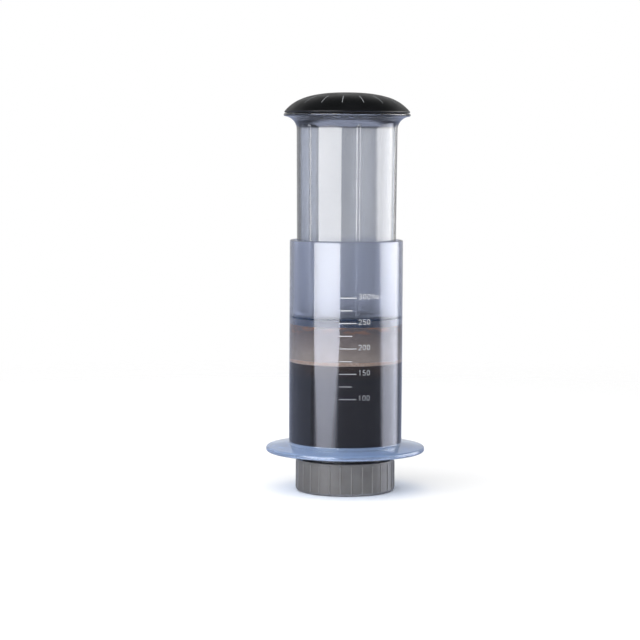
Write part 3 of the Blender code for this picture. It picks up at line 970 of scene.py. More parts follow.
@dataclass
class BrewChamber:
    """Clear tube with a neck and four bayonet lugs below it, and the milky flange round its foot."""

    bore: float = 32.25
    wall: float = 2.2
    rim: float = 153.2
    rim_fillet: float = 0.8
    floor_top: float = 27.6
    floor_fall: float = 1.5
    flange_radius: float = 48.4
    flange_bottom: float = 24.1
    flange_edge: float = 2.9
    flange_rise: float = 2.2
    flange_fillet: float = 1.1
    flange_lap: float = 0.2
    flange_proud: float = 0.01
    bite: float = 0.02
    neck_radius: float = 27.0
    neck_bore: float = 24.8
    neck_end: float = 9.6
    neck_fillet: float = 0.3
    root_fillet: float = 0.4
    throat_fillet: float = 0.6
    floor_fillet: float = 1.0
    lug_count: int = 4
    lug_reach: float = 1.2
    lug_heights: Point = (11.1, 14.1)
    lug_step: float = 0.1
    lug_span: float = 36.0
    column_count: int = 240

    def profile(self) -> Profile:
        """Closed section of the wall and the neck.

        Returns:
            The section's points.
        """
        outer = self.bore + self.wall
        low, high = self.lug_heights
        rows = (high, high - self.lug_step, low + self.lug_step, low)
        return rounded([
            (self.bore, self.rim, self.rim_fillet),
            (outer, self.rim, self.rim_fillet),
            (outer, self.flange_bottom),
            (self.neck_radius, self.flange_bottom, self.root_fillet),
            *((self.neck_radius, row) for row in rows),
            (self.neck_radius, self.neck_end, self.neck_fillet),
            (self.neck_bore, self.neck_end, self.neck_fillet),
            (self.neck_bore, self.floor_top - self.floor_fall, self.throat_fillet),
            (self.bore, self.floor_top, self.floor_fillet),
        ])

    def flange_profile(self) -> Profile:
        """Closed section of the flange, which bites a little into the wall so that no gap shows.

        Returns:
            The section's points.
        """
        outer = self.bore + self.wall
        edge_top = self.flange_bottom + self.flange_edge
        root_top = edge_top + self.flange_rise
        lap_top = root_top + self.rim_fillet + self.flange_lap
        return rounded([
            (outer - self.bite, lap_top),
            (outer + self.flange_proud, lap_top),
            (outer + self.flange_proud, root_top, self.rim_fillet),
            (self.flange_radius, edge_top, self.flange_fillet),
            (self.flange_radius, self.flange_bottom, self.flange_fillet),
            (outer - self.bite, self.flange_bottom),
        ])

    def lug(self, azimuth: float, radius: float, height: float) -> float:
        """How far a lug stands out of the neck at a point.

        Args:
            azimuth: azimuth in radians.
            radius: the point's radius.
            height: the point's height.

        Returns:
            The extra radius.
        """
        low, high = self.lug_heights
        if radius != self.neck_radius or not low < height < high:
            return 0.0
        inside = near(azimuth, evenly(self.lug_count)) < math.radians(self.lug_span / 2)
        return self.lug_reach if inside else 0.0

    def build(self) -> list[Piece]:
        """Builds and dresses the chamber and its flange.

        Returns:
            The chamber and the flange.
        """
        columns = evenly(self.column_count)
        wall = turn("chamber_clear", self.profile(), columns, swell=self.lug)
        flange = turn("mug_flange", self.flange_profile(), columns)
        CLEAR_CHAMBER.dress(wall)
        MILKY_FLANGE.dress(flange)
        for piece in (wall, flange):
            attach(piece, Body.CHAMBER.value)
            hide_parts("brew_chamber")
        return [wall, flange]


@dataclass
class PrintedScale:
    """Scale printed on the chamber: long and short lines, and plain numbers at the long ones."""

    radius: float = BrewChamber.bore + BrewChamber.wall
    ink: float = 0.04
    clearance: float = 0.02
    top_mark: int = 300
    lowest_mark: int = 100
    short_step: int = 25
    long_step: int = 50
    top_height: float = 120.04
    rise_per_unit: float = 0.303
    line_height: float = 0.42
    line_start: float = -3.7
    long_end: float = 6.4
    short_end: float = 3.8
    number_start: float = 7.7
    word_start: float = 16.0
    figure_height: float = 2.95
    figure_width: float = 1.8
    figure_pitch: float = 2.65
    figure_lift: float = 0.8
    stroke_width: float = 0.31
    widest_bend: float = 2.0

    def marks(self, step: int) -> range:
        """Marks from the top one to the lowest."""
        return range(self.top_mark, self.lowest_mark - 1, -step)

    def height_of(self, mark: int) -> float:
        """Height of a mark, in millimetres."""
        return self.top_height - (self.top_mark - mark) * self.rise_per_unit

    def lines(self) -> Piece:
        """Builds the lines.

        Returns:
            The printed lines.
        """
        shape = bmesh.new()
        inner = self.radius + self.clearance
        for mark in self.marks(self.short_step):
            end = self.long_end if mark % self.long_step == 0 else self.short_end
            middle = self.height_of(mark)
            add_block(
                shape,
                (inner, inner + self.ink),
                (self.line_start / self.radius, end / self.radius),
                (middle - self.line_height / 2, middle + self.line_height / 2),
                steps=10,
            )
        return new_piece("scale_lines", shape)

    def glyph(self, letter: str) -> list[Profile]:
        """Strokes of a figure or letter, in a box one wide and one high.

        Args:
            letter: the figure or letter.

        Returns:
            The strokes, each a line of points.
        """

        def bow(centre: Point, reach: Point, start: float, end: float) -> Profile:
            """Points of an oval arc, its angles in degrees."""
            turns = arc((0, 0), 1, math.radians(start), math.radians(end), steps=14)
            return [(centre[0] + reach[0] * x, centre[1] + reach[1] * y) for x, y in turns]

        return {
            "0": [bow((0.5, 0.5), (0.48, 0.5), 90, 450)],
            "1": [[(0.25, 0.8), (0.55, 1.0), (0.55, 0.0)]],
            "2": [bow((0.5, 0.7), (0.44, 0.3), 165, -30) + [(0.05, 0.0), (0.95, 0.0)]],
            "3": [bow((0.46, 0.75), (0.42, 0.25), 150, -90) + bow((0.48, 0.25), (0.46, 0.25), 88, -150)],
            "5": [[(0.88, 1.0), (0.2, 1.0), (0.14, 0.56)] + bow((0.47, 0.31), (0.46, 0.31), 120, -150)],
            "M": [[(0.0, 0.0), (0.0, 1.0), (0.45, 0.4), (0.9, 1.0), (0.9, 0.0)]],
            "a": [bow((0.42, 0.33), (0.4, 0.33), 0, 360), [(0.84, 0.66), (0.84, 0.0)]],
            "x": [[(0.05, 0.0), (0.85, 0.66)], [(0.05, 0.66), (0.85, 0.0)]],
        }[letter]

    def stroke(self, shape: Shape, line: Profile) -> None:
        """Adds one printed stroke, bent round the wall.

        Args:
            shape: the bmesh it goes into.
            line: points of its middle, as (distance round the wall, height) in millimetres.
        """
        loops = []
        inner = self.radius + self.clearance
        for index, point in enumerate(line):
            here = Vector(point)
            ahead = Vector(line[min(index + 1, len(line) - 1)]) - here
            back = here - Vector(line[max(index - 1, 0)])
            first = (back if back.length else ahead).normalized()
            last = (ahead if ahead.length else back).normalized()
            along = (first + last).normalized()
            # A bend is mitred, so the bar is wider there, but no more than twice its width.
            half = self.stroke_width / 2 / max(along.dot(first), 1 / self.widest_bend)
            aside = Vector((-along.y, along.x)) * half
            low, high = here - aside, here + aside
            corners = ((low, inner), (high, inner), (high, inner + self.ink), (low, inner + self.ink))
            places = [on_cylinder(radius, spot.x / self.radius, spot.y) for spot, radius in corners]
            loops.append([shape.verts.new(place) for place in places])
        skin(shape, loops)

    def figures(self) -> Piece:
        """Builds the numbers at the long lines and the word at the top one.

        Returns:
            The printed figures.
        """
        texts = [(str(mark), self.number_start, self.height_of(mark)) for mark in self.marks(self.long_step)]
        texts.append(("Max", self.word_start, self.height_of(self.top_mark)))
        shape = bmesh.new()
        for text, start, middle in texts:
            base = middle + self.figure_lift - self.figure_height / 2
            for index, letter in enumerate(text):
                left = start + index * self.figure_pitch
                for line in self.glyph(letter):
                    placed = [(left + x * self.figure_width, base + y * self.figure_height) for x, y in line]
                    self.stroke(shape, placed)
        return new_piece("scale_figures", shape)

    def build(self) -> list[Piece]:
        """Builds and dresses the print.

        Returns:
            The lines and the figures.
        """
        pieces = [self.lines(), self.figures()]
        for piece in pieces:
            WHITE_INK.dress(piece)
            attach(piece, Body.CHAMBER.value)
        return pieces


@dataclass
class PlungerTube:
    """Clear tube with a flared rim, six guide ribs, and a foot whose boss holds the seal."""

    foot: float = 107.6
    foot_radius: float = 29.8
    top_radius: float = 30.6
    flare_start: float = 220.0
    flare_radius: float = 7.9
    wall: float = 2.0
    floor: float = 2.4
    edge_fillet: float = 0.5
    foot_fillet: float = 0.8
    shoulder: float = 1.2
    # A second row of points this far off keeps the shoulder and the start of the flare crisp.
    row_gap: float = 0.8
    rib_count: int = 6
    rib_phase: float = 13.0
    rib_width: float = 2.2
    rib_depth: float = 0.4
    rib_slope: Point = (0.15, 0.55)
    rib_start: float = 1.3
    rib_end: float = 2.2
    # Columns stand this far outside and inside both ends of a rib's slope.
    rib_rows: Point = (0.03, 0.1)
    between_ribs: int = 33
    post_radius: float = 9.0
    head_radius: float = 14.0
    head_bottom: float = 102.4
    head_height: float = 1.6
    bite: float = 0.02

    def outer_radius(self, height: float) -> float:
        """Outer radius of the drafted wall at a height."""
        draft = (self.top_radius - self.foot_radius) / (self.flare_start - self.foot)
        return self.foot_radius + draft * (height - self.foot)

    def wall_profile(self) -> Profile:
        """Section of the wall, from its foot inside, over the flared rim and down outside.

        Returns:
            The section's points.
        """
        centre = (self.top_radius + self.flare_radius, self.flare_start)
        inner_arc = self.flare_radius + self.wall
        groove_angle = math.pi - math.acos(self.flare_radius / inner_arc)
        # The rim is round, with its middle on the flare's own arc.
        half, middle = self.wall / 2, self.flare_radius + self.wall / 2
        rim_angle = math.pi / 2 + math.asin(half / middle)
        rim_centre = (centre[0] + middle * math.cos(rim_angle), centre[1] + middle * math.sin(rim_angle))
        groove = arc(centre, inner_arc, groove_angle, rim_angle, steps=14)
        edge = arc(rim_centre, half, rim_angle, rim_angle - math.pi, steps=10)
        flare = arc(centre, self.flare_radius, rim_angle, math.pi, steps=16)
        rim = self.flare_start + self.flare_radius + self.wall
        bore = self.top_radius - self.wall
        inside = rounded([
            (0, self.foot + self.floor),
            (self.foot_radius - self.wall, self.foot + self.floor, self.foot_fillet),
            (bore, self.flare_start),
            (bore, rim, self.edge_fillet),
            (self.top_radius, rim, self.edge_fillet),
            groove[0],
        ])
        ends = (self.flare_start - self.row_gap, self.foot + self.floor)
        side = [(self.outer_radius(height), height) for height in ends]
        return inside[1:-1] + groove + edge[1:-1] + flare + side

    def foot_profile(self) -> Profile:
        """Section of the floor and the boss under it, from the axis to the axis.

        Returns:
            The section's points.
        """
        top, shoulder = self.foot + self.floor + self.bite, self.foot + self.shoulder
        head_top = self.head_bottom + self.head_height
        return rounded([
            (0, top),
            *((self.outer_radius(height), height) for height in (top, shoulder + self.row_gap, shoulder)),
            (self.foot_radius, self.foot, self.foot_fillet),
            (self.post_radius, self.foot),
            (self.post_radius, head_top),
            (self.head_radius, head_top),
            (self.head_radius, self.head_bottom),
            (0, self.head_bottom),
        ])

    def ribs(self) -> list[float]:
        """Azimuths of the guide ribs."""
        return evenly(self.rib_count, self.rib_phase)

    def rib_edges(self) -> Point:
        """Distances from a rib's middle at which its slope starts and at which it is fully out."""
        return self.rib_width / 2 + self.rib_slope[0], self.rib_width / 2 - self.rib_slope[1]

    def rib(self, azimuth: float, radius: float, height: float) -> float:
        """How far a guide rib stands out at a point.

        Args:
            azimuth: azimuth in radians.
            radius: the point's radius.
            height: the point's height.

        Returns:
            The extra radius.
        """
        ends = (self.foot + self.rib_start, self.flare_start + self.rib_end)
        if not ends[0] < height <= ends[1] or radius < self.foot_radius:
            return 0.0
        return self.rib_depth * ramp(near(azimuth, self.ribs()) * radius, *self.rib_edges())

    def build(self) -> list[Piece]:
        """Builds and dresses the tube's wall and its foot.

        Returns:
            The wall and the foot.
        """
        outer, inner = self.rib_edges()
        out, into = self.rib_rows
        side = [outer + out, outer - into, (outer + inner) / 2, inner + into, inner - out]
        offsets = [mark / self.top_radius for mark in (*(-mark for mark in side), 0.0, *side[::-1])]
        columns = columns_between(self.ribs(), offsets, self.between_ribs)
        wall = turn("plunger_tube_clear", self.wall_profile(), columns, self.rib)
        foot = turn("plunger_foot_clear", self.foot_profile(), columns, self.rib)
        CLEAR_TUBE.dress(wall)
        CLEAR_FOOT.dress(foot)
        for piece in (wall, foot):
            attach(piece, Body.PLUNGER.value)
            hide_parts("plunger_tube")
        return [wall, foot]


@dataclass
class PlungerSeal:
    """Silicone seal with a wiping lip at each end and a socket for the tube's boss."""

    bottom: float = 100.9
    height: float = 6.4
    lip_radius: float = 32.27
    lip: float = 1.4
    lip_fillet: float = 0.25
    waist_depth: float = 1.0
    waist_slope: float = 0.2
    waist_fillet: float = 0.3
    web: float = 1.2
    socket_radius: float = 14.3
    socket_height: float = 2.2
    mouth_radius: float = 9.3
    column_count: int = 192

    def build(self) -> list[Piece]:
        """Builds and dresses the seal.

        Returns:
            The seal.
        """
        low, high = self.bottom, self.bottom + self.height
        waist, slope = self.lip_radius - self.waist_depth, self.lip + self.waist_slope
        socket_floor = low + self.web
        socket_top = socket_floor + self.socket_height
        profile = rounded([
            (0, socket_floor),
            (self.socket_radius, socket_floor),
            (self.socket_radius, socket_top),
            (self.mouth_radius, socket_top),
            (self.mouth_radius, high),
            (self.lip_radius, high, self.lip_fillet),
            (self.lip_radius, high - self.lip, self.lip_fillet),
            (waist, high - slope, self.waist_fillet),
            (waist, low + slope, self.waist_fillet),
            (self.lip_radius, low + self.lip, self.lip_fillet),
            (self.lip_radius, low, self.lip_fillet),
            (0, low),
        ])
        piece = turn("seal_rubber", profile, evenly(self.column_count))
        SEAL_RUBBER.dress(piece)
        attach(piece, Body.PLUNGER.value)
        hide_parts("plunger_seal")
        return [piece]


@dataclass
class PressCap:
    """Black dome with a plug below it, and the fine dial lines on its crown."""

    base: float = 230.2
    radius: float = 38.05
    height: float = 12.2
    edge: float = 0.6
    edge_fillet: float = 0.2
    flank: Point = (0.814, 0.784)
    crown: Point = (0.473, 1.0)
    curve_steps: int = 40
    fine_steps: int = 200
    column_count: int = 224
    wall: float = 2.2
    plug_radius: float = 28.3
    plug_bore: float = 25.5
    plug_depth: float = 5.0
    plug_fillet: float = 0.4
    ring_lift: float = 1.2
    ring_height: float = 2.4
    ring_depth: float = 0.8
    line_count: int = 16
    line_phase: float = -5.2
    line_radii: Point = (24.0, 32.8)
    line_width: float = 0.45
    line_steps: int = 8
    ink: float = 0.05
    clearance: float = 0.02
    weld: float = 0.004

    def dome_curve(self, radius: float, height: float, steps: int) -> Profile:
        """Curve of the dome from the middle of its crown to its edge.

        Args:
            radius: radius at the edge.
            height: height of the crown over the edge.
            steps: chords of the curve.

        Returns:
            The points, with heights from the edge.
        """
        ends = ((radius, 0.0), (self.flank[0] * radius, self.flank[1] * height))
        ends += ((self.crown[0] * radius, self.crown[1] * height), (0.0, height))
        points: Profile = []
        for step in range(steps, -1, -1):
            share = step / steps
            weights = [math.comb(3, power) * share**power * (1 - share) ** (3 - power) for power in range(4)]
            across, up = (sum(w * end[axis] for w, end in zip(weights, ends)) for axis in (0, 1))
            points.append((across, up))
        return points

    def dome(self) -> Piece:
        """Builds the dome and its plug.

        Returns:
            The dome.
        """
        outside = self.dome_curve(self.radius, self.height - self.edge, self.curve_steps)
        crown = [(radius, self.base + self.edge + height) for radius, height in outside]
        ceiling = self.dome_curve(self.radius - self.wall, self.height - self.wall, self.curve_steps)
        reach = self.plug_bore - self.wall
        inner = [(radius, self.base + height) for radius, height in ceiling if radius < reach]
        low = self.base - self.plug_depth
        ring_low = low + self.ring_lift
        ring_high = ring_low + self.ring_height
        groove = self.plug_radius - self.ring_depth
        below = rounded([
            (self.radius, self.base + self.edge),
            (self.radius, self.base, self.edge_fillet),
            (self.plug_radius, self.base),
            (self.plug_radius, ring_high),
            (groove, ring_high),
            (groove, ring_low),
            (self.plug_radius, ring_low),
            (self.plug_radius, low, self.plug_fillet),
            (self.plug_bore, low, self.plug_fillet),
            (self.plug_bore, inner[-1][1]),
        ])
        return turn("dome_black", crown[:-1] + below + inner[::-1], evenly(self.column_count))

    def height_at(self, radius: float) -> float:
        """Height of the dome's outer face at a radius, read off a finer curve."""
        curve = self.dome_curve(self.radius, self.height - self.edge, self.fine_steps)
        return self.base + self.edge + min(curve, key=lambda point: abs(point[0] - radius))[1]

    def lines(self) -> Piece:
        """Builds the dial lines, laid on the dome.

        Returns:
            The lines.
        """
        shape = bmesh.new()
        start, end = self.line_radii
        stations = [start + (end - start) * step / self.line_steps for step in range(self.line_steps + 1)]
        for azimuth in evenly(self.line_count, self.line_phase):
            for radii in zip(stations, stations[1:]):
                # Half the line's width, as an angle at the middle of the stretch.
                half = self.line_width / sum(radii)
                add_block(
                    shape,
                    radii,
                    (azimuth - half, azimuth + half),
                    (0.0, self.ink),
                    lift=lambda _, radius, __: self.height_at(radius) + self.clearance,
                )
        bmesh.ops.remove_doubles(shape, verts=shape.verts, dist=self.weld * MM)
        return new_piece("dial_lines", shape)

    def build(self) -> list[Piece]:
        """Builds and dresses the cap.

        Returns:
            The dome and its lines.
        """
        dome, lines = self.dome(), self.lines()
        BLACK_DOME.dress(dome)
        DIAL_INK.dress(lines)
        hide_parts("press_cap")
        for piece in (dome, lines):
            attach(piece, Body.PRESS_CAP.value)
        BLACK_RING.dress(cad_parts["press_cap_ring"])
        return [dome, lines]


@dataclass
class FilterCap:
    """Grey cap with 28 grip ribs, a foot ring, an outlet, a drain floor on bars and bayonet ledges."""

    radius: float = 30.0
    height: float = 19.6
    bore: float = 28.5
    edge_fillet: float = 1.6
    rim_fillet: float = 0.5
    foot_radius: float = 23.4
    foot_fillet: float = 0.4
    recess: float = 2.4
    boss_radius: float = 8.8
    boss_fillet: float = 0.3
    outlet_radius: float = 4.0
    outlet_lift: float = 0.5
    shelf: float = 2.0
    pocket_radius: float = 7.0
    drain: Point = (5.0, 5.6)
    seat_radius: float = 25.4
    seat_top: float = 6.2
    rib_count: int = 28
    rib_phase: float = 7.7
    rib_width: float = 0.7
    rib_depth: float = 0.45
    rib_root: float = 0.1
    rib_bite: float = 0.9
    # A rib runs in between two offsets from its lower height, and out up to its upper one.
    rib_heights: Point = (1.6, 18.8)
    rib_run_in: Point = (-1.0, 0.9)
    rib_run_out: float = 0.8
    rib_shares: tuple[float, ...] = (-1, -0.9, -0.6, 0, 0.6, 0.9, 1)
    between_ribs: int = 3
    upper_rows: tuple[float, ...] = (0.0, -0.5, -1.0)
    lower_rows: tuple[float, ...] = (1.4, 0.9, 0.4)
    bar_count: int = 8
    bar_width: float = 0.9
    bar_heights: Point = (3.7, 6.1)
    bar_bite: float = 0.6
    ledge_bore: float = 27.3
    ledge_bite: float = 0.75
    ledge_heights: Point = (14.4, 16.8)
    ledge_end: float = 20.0
    stop_bottom: float = 11.1
    stop_width: float = 3.0
    stop_gap: float = 0.63

    def profile(self) -> Profile:
        """Closed section of the cap.

        Returns:
            The section's points.
        """
        low, high = self.rib_heights
        rows = [high + row for row in self.upper_rows] + [low + row for row in self.lower_rows]
        return rounded([
            (self.bore, self.height, self.rim_fillet),
            (self.radius, self.height, self.rim_fillet),
            *((self.radius, row) for row in rows),
            (self.radius, 0, self.edge_fillet),
            (self.foot_radius, 0, self.foot_fillet),
            (self.foot_radius, self.recess, self.foot_fillet),
            (self.boss_radius, self.recess, self.boss_fillet),
            (self.boss_radius, self.outlet_lift, self.boss_fillet),
            (self.outlet_radius, self.outlet_lift, self.boss_fillet),
            (self.outlet_radius, self.shelf),
            (self.pocket_radius, self.shelf),
            (self.pocket_radius, self.drain[0]),
            (self.seat_radius, self.drain[1]),
            (self.seat_radius, self.seat_top),
            (self.bore, self.seat_top),
        ])

    def ribs(self) -> list[float]:
        """Azimuths of the grip ribs."""
        return evenly(self.rib_count, self.rib_phase)

    def rib_reach(self) -> float:
        """Half of a rib's width at its root."""
        return self.rib_width / 2 + self.rib_root

    def rib(self, azimuth: float, radius: float, height: float) -> float:
        """How far a grip rib stands out at a point.

        Args:
            azimuth: azimuth in radians.
            radius: the point's radius.
            height: the point's height.

        Returns:
            The extra radius.
        """
        if radius < self.radius - self.rib_bite:
            return 0.0
        low, high = self.rib_heights
        start, full = self.rib_run_in
        fade = ramp(height, low + start, low + full) * ramp(height, high, high - self.rib_run_out)
        across = near(azimuth, self.ribs()) * self.radius / self.rib_reach()
        return self.rib_depth * fade * max(0.0, 1 - across**2) ** 0.5

    def inside(self) -> Shape:
        """Builds the screen's bars, the bayonet ledges and their stops.

        Returns:
            The geometry.
        """
        shape = bmesh.new()
        # Half a bar's width, as an angle at its middle.
        half = self.bar_width / (self.boss_radius + self.seat_radius)
        radii = (self.boss_radius, self.seat_radius + self.bar_bite)
        for azimuth in evenly(self.bar_count):
            add_block(shape, radii, (azimuth - half, azimuth + half), self.bar_heights)
        stop = -math.radians(BrewChamber.lug_span / 2 + self.stop_gap)
        corner, end = stop - math.radians(self.stop_width), math.radians(self.ledge_end)
        radii, middle = (self.ledge_bore, self.bore + self.ledge_bite), sum(self.ledge_heights) / 2
        for azimuth in evenly(BrewChamber.lug_count):
            add_block(shape, radii, (azimuth + corner, azimuth + end), self.ledge_heights, steps=12)
            add_block(shape, radii, (azimuth + corner, azimuth + stop), (self.stop_bottom, middle), steps=2)
        return shape

    def build(self) -> list[Piece]:
        """Builds and dresses the cap, and dresses what is clamped in it.

        Returns:
            The cap.
        """
        offsets = [self.rib_reach() * share / self.radius for share in self.rib_shares]
        columns = columns_between(self.ribs(), offsets, self.between_ribs)
        piece = turn("cap_grey", self.profile(), columns, self.rib)
        merge(piece, self.inside())
        GREY_CAP.dress(piece)
        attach(piece, Body.FILTER_CAP.value)
        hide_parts("filter_cap")
        clamped = {
            "filter_screen": SCREEN_METAL,
            "paper_filter": PAPER,
            "neck_gasket": GREY_RUBBER,
            "outlet_valve": GREY_RUBBER,
            "valve_retainer": GREY_CAP,
        }
        for node, finish in clamped.items():
            finish.dress(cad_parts[node])
        return [piece]


@dataclass
class Brew:
    """Coffee in the chamber, its foam ring and the wet film that the plunger has left above it."""

    floor: float = 27.7
    top: float = COFFEE.top
    foam_top: float = 81.2
    foam_width: float = 2.5
    foam_dip: float = 0.5
    foam_gap: float = 0.05
    film_top: float = FILM.top
    film_gap: float = 0.1
    film_radius: float = 32.32
    film: float = 0.04
    wall_radius: float = 32.3
    corner: Point = (1.2, 1.0)
    corner_lift: float = 0.2
    neck_radius: float = 24.85
    neck_bottom: float = 9.7
    throat_fall: float = 1.2
    neck_fall: float = 1.6
    anchor: float = 27.6
    column_count: int = 192

    def neck(self) -> Profile:
        """Section of the coffee in the chamber's neck."""
        top, bottom = self.floor - self.neck_fall, self.neck_bottom
        return [(0, top), (self.neck_radius, top), (self.neck_radius, bottom), (0, bottom)]

    def body(self) -> Profile:
        """Section of the coffee in the chamber, with a corner cut off where the floor is rounded.

        Returns:
            The section's points.
        """
        throat = self.floor - self.throat_fall
        return [
            (0, self.top),
            (self.wall_radius, self.top),
            (self.wall_radius, self.floor + self.corner[1]),
            (self.wall_radius - self.corner[0], self.floor + self.corner_lift),
            (self.neck_radius, throat),
            (0, throat),
        ]

    def foam(self) -> Profile:
        """Section of the foam, which stands highest at the wall.

        Returns:
            The section's points.
        """
        low, bottom = self.foam_top - self.foam_dip, self.top + self.foam_gap
        wall = self.wall_radius
        return [(0, low), (wall - self.foam_width, low), (wall, self.foam_top), (wall, bottom), (0, bottom)]

    def wet_film(self) -> Profile:
        """Section of the film on the wall above the foam."""
        inner, outer, low = self.film_radius - self.film, self.film_radius, self.foam_top + self.film_gap
        return [(inner, self.film_top), (outer, self.film_top), (outer, low), (inner, low)]

    def build(self) -> list[Piece]:
        """Builds and dresses the brew, and gives its body, foam and film meshes of their own.

        Returns:
            The pieces.
        """
        columns = evenly(self.column_count)
        neck = turn("brew_in_neck", self.neck(), columns)
        body = turn("brew_body", self.body(), columns)
        foam = turn("foam_ring", self.foam(), columns)
        film = turn("wet_film", self.wet_film(), columns)
        for piece, finish in ((neck, COFFEE), (body, COFFEE), (foam, FOAM), (film, FILM)):
            finish.dress(piece)
            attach(piece, Body.CHAMBER.value)
        for piece in (body, foam, film):
            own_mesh(piece)
        return [neck, body, foam, film]


@dataclass
class Softbox:
    """A tall diffuser that stands at an azimuth and faces the object."""

    cloth: LampCloth
    azimuth: float
    distance: float = 0.95
    height: float = 0.7
    centre: float = 0.06

    def build(self) -> None:
        """Stands up the lit cloth, which mirrors show and the camera doesn't."""
        shape = bmesh.new()
        half, up = self.cloth.half_width, self.height / 2
        reach = half + abs(self.cloth.lean) * up
        corners = ((-reach, -up), (half, -up), (half, up), (-reach, up))
        shape.faces.new([shape.verts.new((x, 0, z)) for x, z in corners])
        piece = new_piece(self.cloth.name, shape)
        turn_by = math.radians(self.azimuth)
        place = (math.sin(turn_by) * self.distance, -math.cos(turn_by) * self.distance, self.centre)
        piece.matrix_world = Matrix.Translation(place) @ Matrix.Rotation(turn_by, 4, "Z")
        self.cloth.dress(piece)
        piece.visible_camera = False
        piece.visible_shadow = False


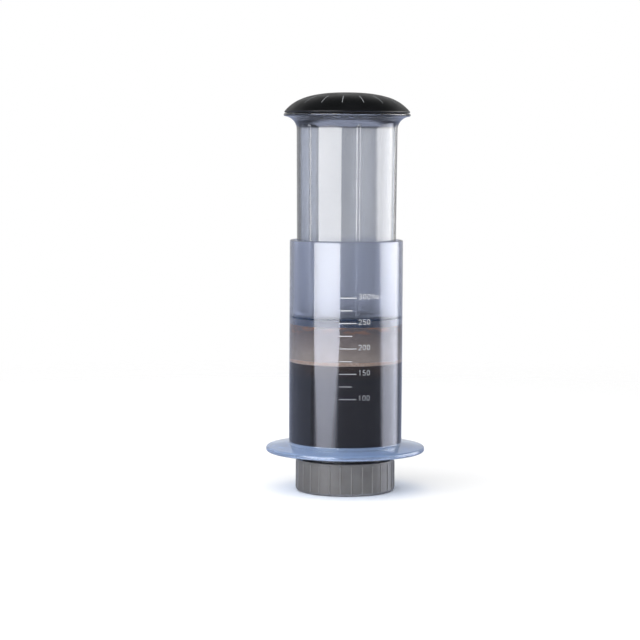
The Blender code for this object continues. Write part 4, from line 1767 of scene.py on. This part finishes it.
@dataclass
class Studio:
    """Pale floor, white surroundings, two tall softboxes and a dim one, a lamp overhead and the camera.

    The heights and depths of the surroundings are parts of a direction one long: Y to the back, Z up.
    """

    floor_colour: str = "f7f7f7"
    floor_reach: float = 3.0
    floor_solid: float = 0.25
    floor_gone: float = 0.8
    ambient: float = 0.5
    front_mirror: float = 0.4
    back_mirror: float = 0.65
    table_mirror: Point = (7.0, 0.6)
    ceiling_mirror: float = 0.06
    low_mirror_colour: str = "cfdafa"
    front_to_back: Point = (-0.3, 0.3)
    table_edge: Point = (-0.45, -0.2)
    ceiling_edge: Point = (0.45, 0.75)
    cool_heights: Point = (-0.11, -0.05)
    overhead_power: float = 26.0
    overhead_size: float = 1.4
    overhead_place: tuple[float, float, float] = (-0.2, -0.3, 1.6)
    camera_place: tuple[float, float, float] = (0.0, -1.2816, 0.2075)
    camera_tilt: float = 4.61
    camera_yaw: float = 0.707
    camera_roll: float = 0.3
    lens: float = 118.5
    sensor: float = 36.0
    nearest: float = 0.05
    softboxes: tuple[tuple[LampCloth, float], ...] = (
        (LEFT_CLOTH, -39.6),
        (RIGHT_CLOTH, 103.0),
        (DIM_CLOTH, -103.0),
    )

    def floor(self) -> None:
        """Builds the floor, which mirrors don't show, so that they see the surroundings to the horizon."""
        shape = bmesh.new()
        bmesh.ops.create_circle(shape, cap_ends=True, segments=96, radius=self.floor_reach)
        floor = new_piece("studio_floor", shape)
        MattPaint("floor_paint", None, self.floor_colour, self.floor_solid, self.floor_gone).dress(floor)
        floor.visible_glossy = False

    def room(self, tree: Tree, depth: Socket, height: Socket) -> Socket:
        """What mirrors see: dim in front, pale at the back, a white table below and a dark ceiling.

        Args:
            tree: the world's nodes.
            depth: how far back a direction points.
            height: how far up it points.

        Returns:
            The room's strength in that direction.
        """
        back = {0: depth, 1: self.front_to_back[0], 2: self.front_to_back[1]}
        walls, table = (
            add_node(tree, "MapRange", {**back, 3: front, 4: rear}, **SMOOTH).outputs[0]
            for front, rear in ((self.front_mirror, self.back_mirror), self.table_mirror)
        )
        up = {0: height, 1: self.table_edge[0], 2: self.table_edge[1], 3: table, 4: walls}
        sweep = add_node(tree, "MapRange", up, **SMOOTH).outputs[0]
        top = {0: height, 1: self.ceiling_edge[0], 2: self.ceiling_edge[1], 3: sweep, 4: self.ceiling_mirror}
        return add_node(tree, "MapRange", top, **SMOOTH).outputs[0]

    def surroundings(self) -> None:
        """Lights the world: white to the eye and through clear plastic, plainly ambient on matt surfaces."""
        world = bpy.data.worlds.new("studio")
        bpy.context.scene.world = world
        world.use_nodes = True
        tree = world.node_tree
        tree.nodes.clear()
        direction = add_node(tree, "TexCoord").outputs["Generated"]
        parts = add_node(tree, "SeparateXYZ", {0: direction}).outputs
        path = add_node(tree, "LightPath").outputs
        # What a matt surface gathers, also through clear plastic, is the plain ambient light.
        gathered = {0: path["Is Glossy Ray"], 1: path["Diffuse Depth"]}
        glossy = add_node(tree, "Math", gathered, operation="SUBTRACT", use_clamp=True).outputs[0]
        seen = {0: glossy, 2: self.ambient, 3: self.room(tree, parts[1], parts[2])}
        mirror = add_node(tree, "Mix", seen).outputs[0]
        # White shows to the eye, and through clear plastic unless the light was mirrored or scattered.
        bounces = add_node(tree, "Math", {0: path["Glossy Depth"], 1: path["Diffuse Depth"]}).outputs[0]
        unbounced = add_node(tree, "Math", {0: bounces, 1: HALF_BOUNCE}, operation="LESS_THAN").outputs[0]
        passed = {0: path["Is Transmission Ray"], 1: unbounced}
        through = add_node(tree, "Math", passed, operation="MULTIPLY").outputs[0]
        eye = {0: path["Is Camera Ray"], 1: through}
        straight = add_node(tree, "Math", eye, operation="MAXIMUM").outputs[0]
        strength = add_node(tree, "Mix", {0: straight, 2: mirror, 3: 1.0}).outputs[0]
        # What mirrors see low down is cooler.
        lowest = {0: parts[2], 1: self.cool_heights[0], 2: self.cool_heights[1], 3: 1.0, 4: 0.0}
        cooler = add_node(tree, "MapRange", lowest).outputs[0]
        unseen = {0: glossy, 1: straight}
        mirrored = add_node(tree, "Math", unseen, operation="SUBTRACT", use_clamp=True).outputs[0]
        share = add_node(tree, "Math", {0: cooler, 1: mirrored}, operation="MULTIPLY").outputs[0]
        colours = {0: share, 6: WHITE, 7: linear(self.low_mirror_colour)}
        colour = add_node(tree, "Mix", colours, data_type="RGBA").outputs[2]
        light = add_node(tree, "Background", {"Color": colour, "Strength": strength})
        add_node(tree, "OutputWorld", {"Surface": light.outputs[0]})

    def lamps(self) -> None:
        """Sets up the softboxes and the overhead lamp."""
        for cloth, azimuth in self.softboxes:
            Softbox(cloth, azimuth).build()
        light = bpy.data.lights.new("overhead", "AREA")
        light.shape = "SQUARE"
        light.size = self.overhead_size
        light.energy = self.overhead_power
        lamp = bpy.data.objects.new("overhead", light)
        lamp.location = self.overhead_place
        lamp.rotation_euler = Vector(self.overhead_place).to_track_quat("Z", "Y").to_euler()
        lamp.visible_glossy = False
        lamp.visible_camera = False
        bpy.context.scene.collection.objects.link(lamp)

    def camera(self) -> None:
        """Stands the camera where it sees the object as the picture does."""
        data = bpy.data.cameras.new("camera")
        data.sensor_width = self.sensor
        data.lens = self.lens
        data.clip_start = self.nearest
        camera = bpy.data.objects.new("camera", data)
        turns = ((self.camera_yaw, "Z"), (90 - self.camera_tilt, "X"), (self.camera_roll, "Z"))
        yaw, tilt, roll = (Matrix.Rotation(math.radians(angle), 4, axis) for angle, axis in turns)
        camera.matrix_world = Matrix.Translation(self.camera_place) @ yaw @ tilt @ roll
        bpy.context.scene.collection.objects.link(camera)
        bpy.context.scene.camera = camera

    def build(self) -> None:
        """Builds the studio."""
        self.floor()
        self.surroundings()
        self.lamps()
        self.camera()
        bpy.context.scene.view_settings.view_transform = "Standard"


def main() -> None:
    """Builds each sub-assembly in order and reports its pieces."""
    logging.basicConfig(level=logging.INFO, format="%(name)s: %(message)s")
    for maker in (BrewChamber, PrintedScale, PlungerTube, PlungerSeal, PressCap, FilterCap, Brew):
        for piece in maker().build():
            log.info("%s: %s, %d faces", maker.__name__, piece.name, len(piece.data.polygons))
    Studio().build()


if __name__ == "__main__":
    main()
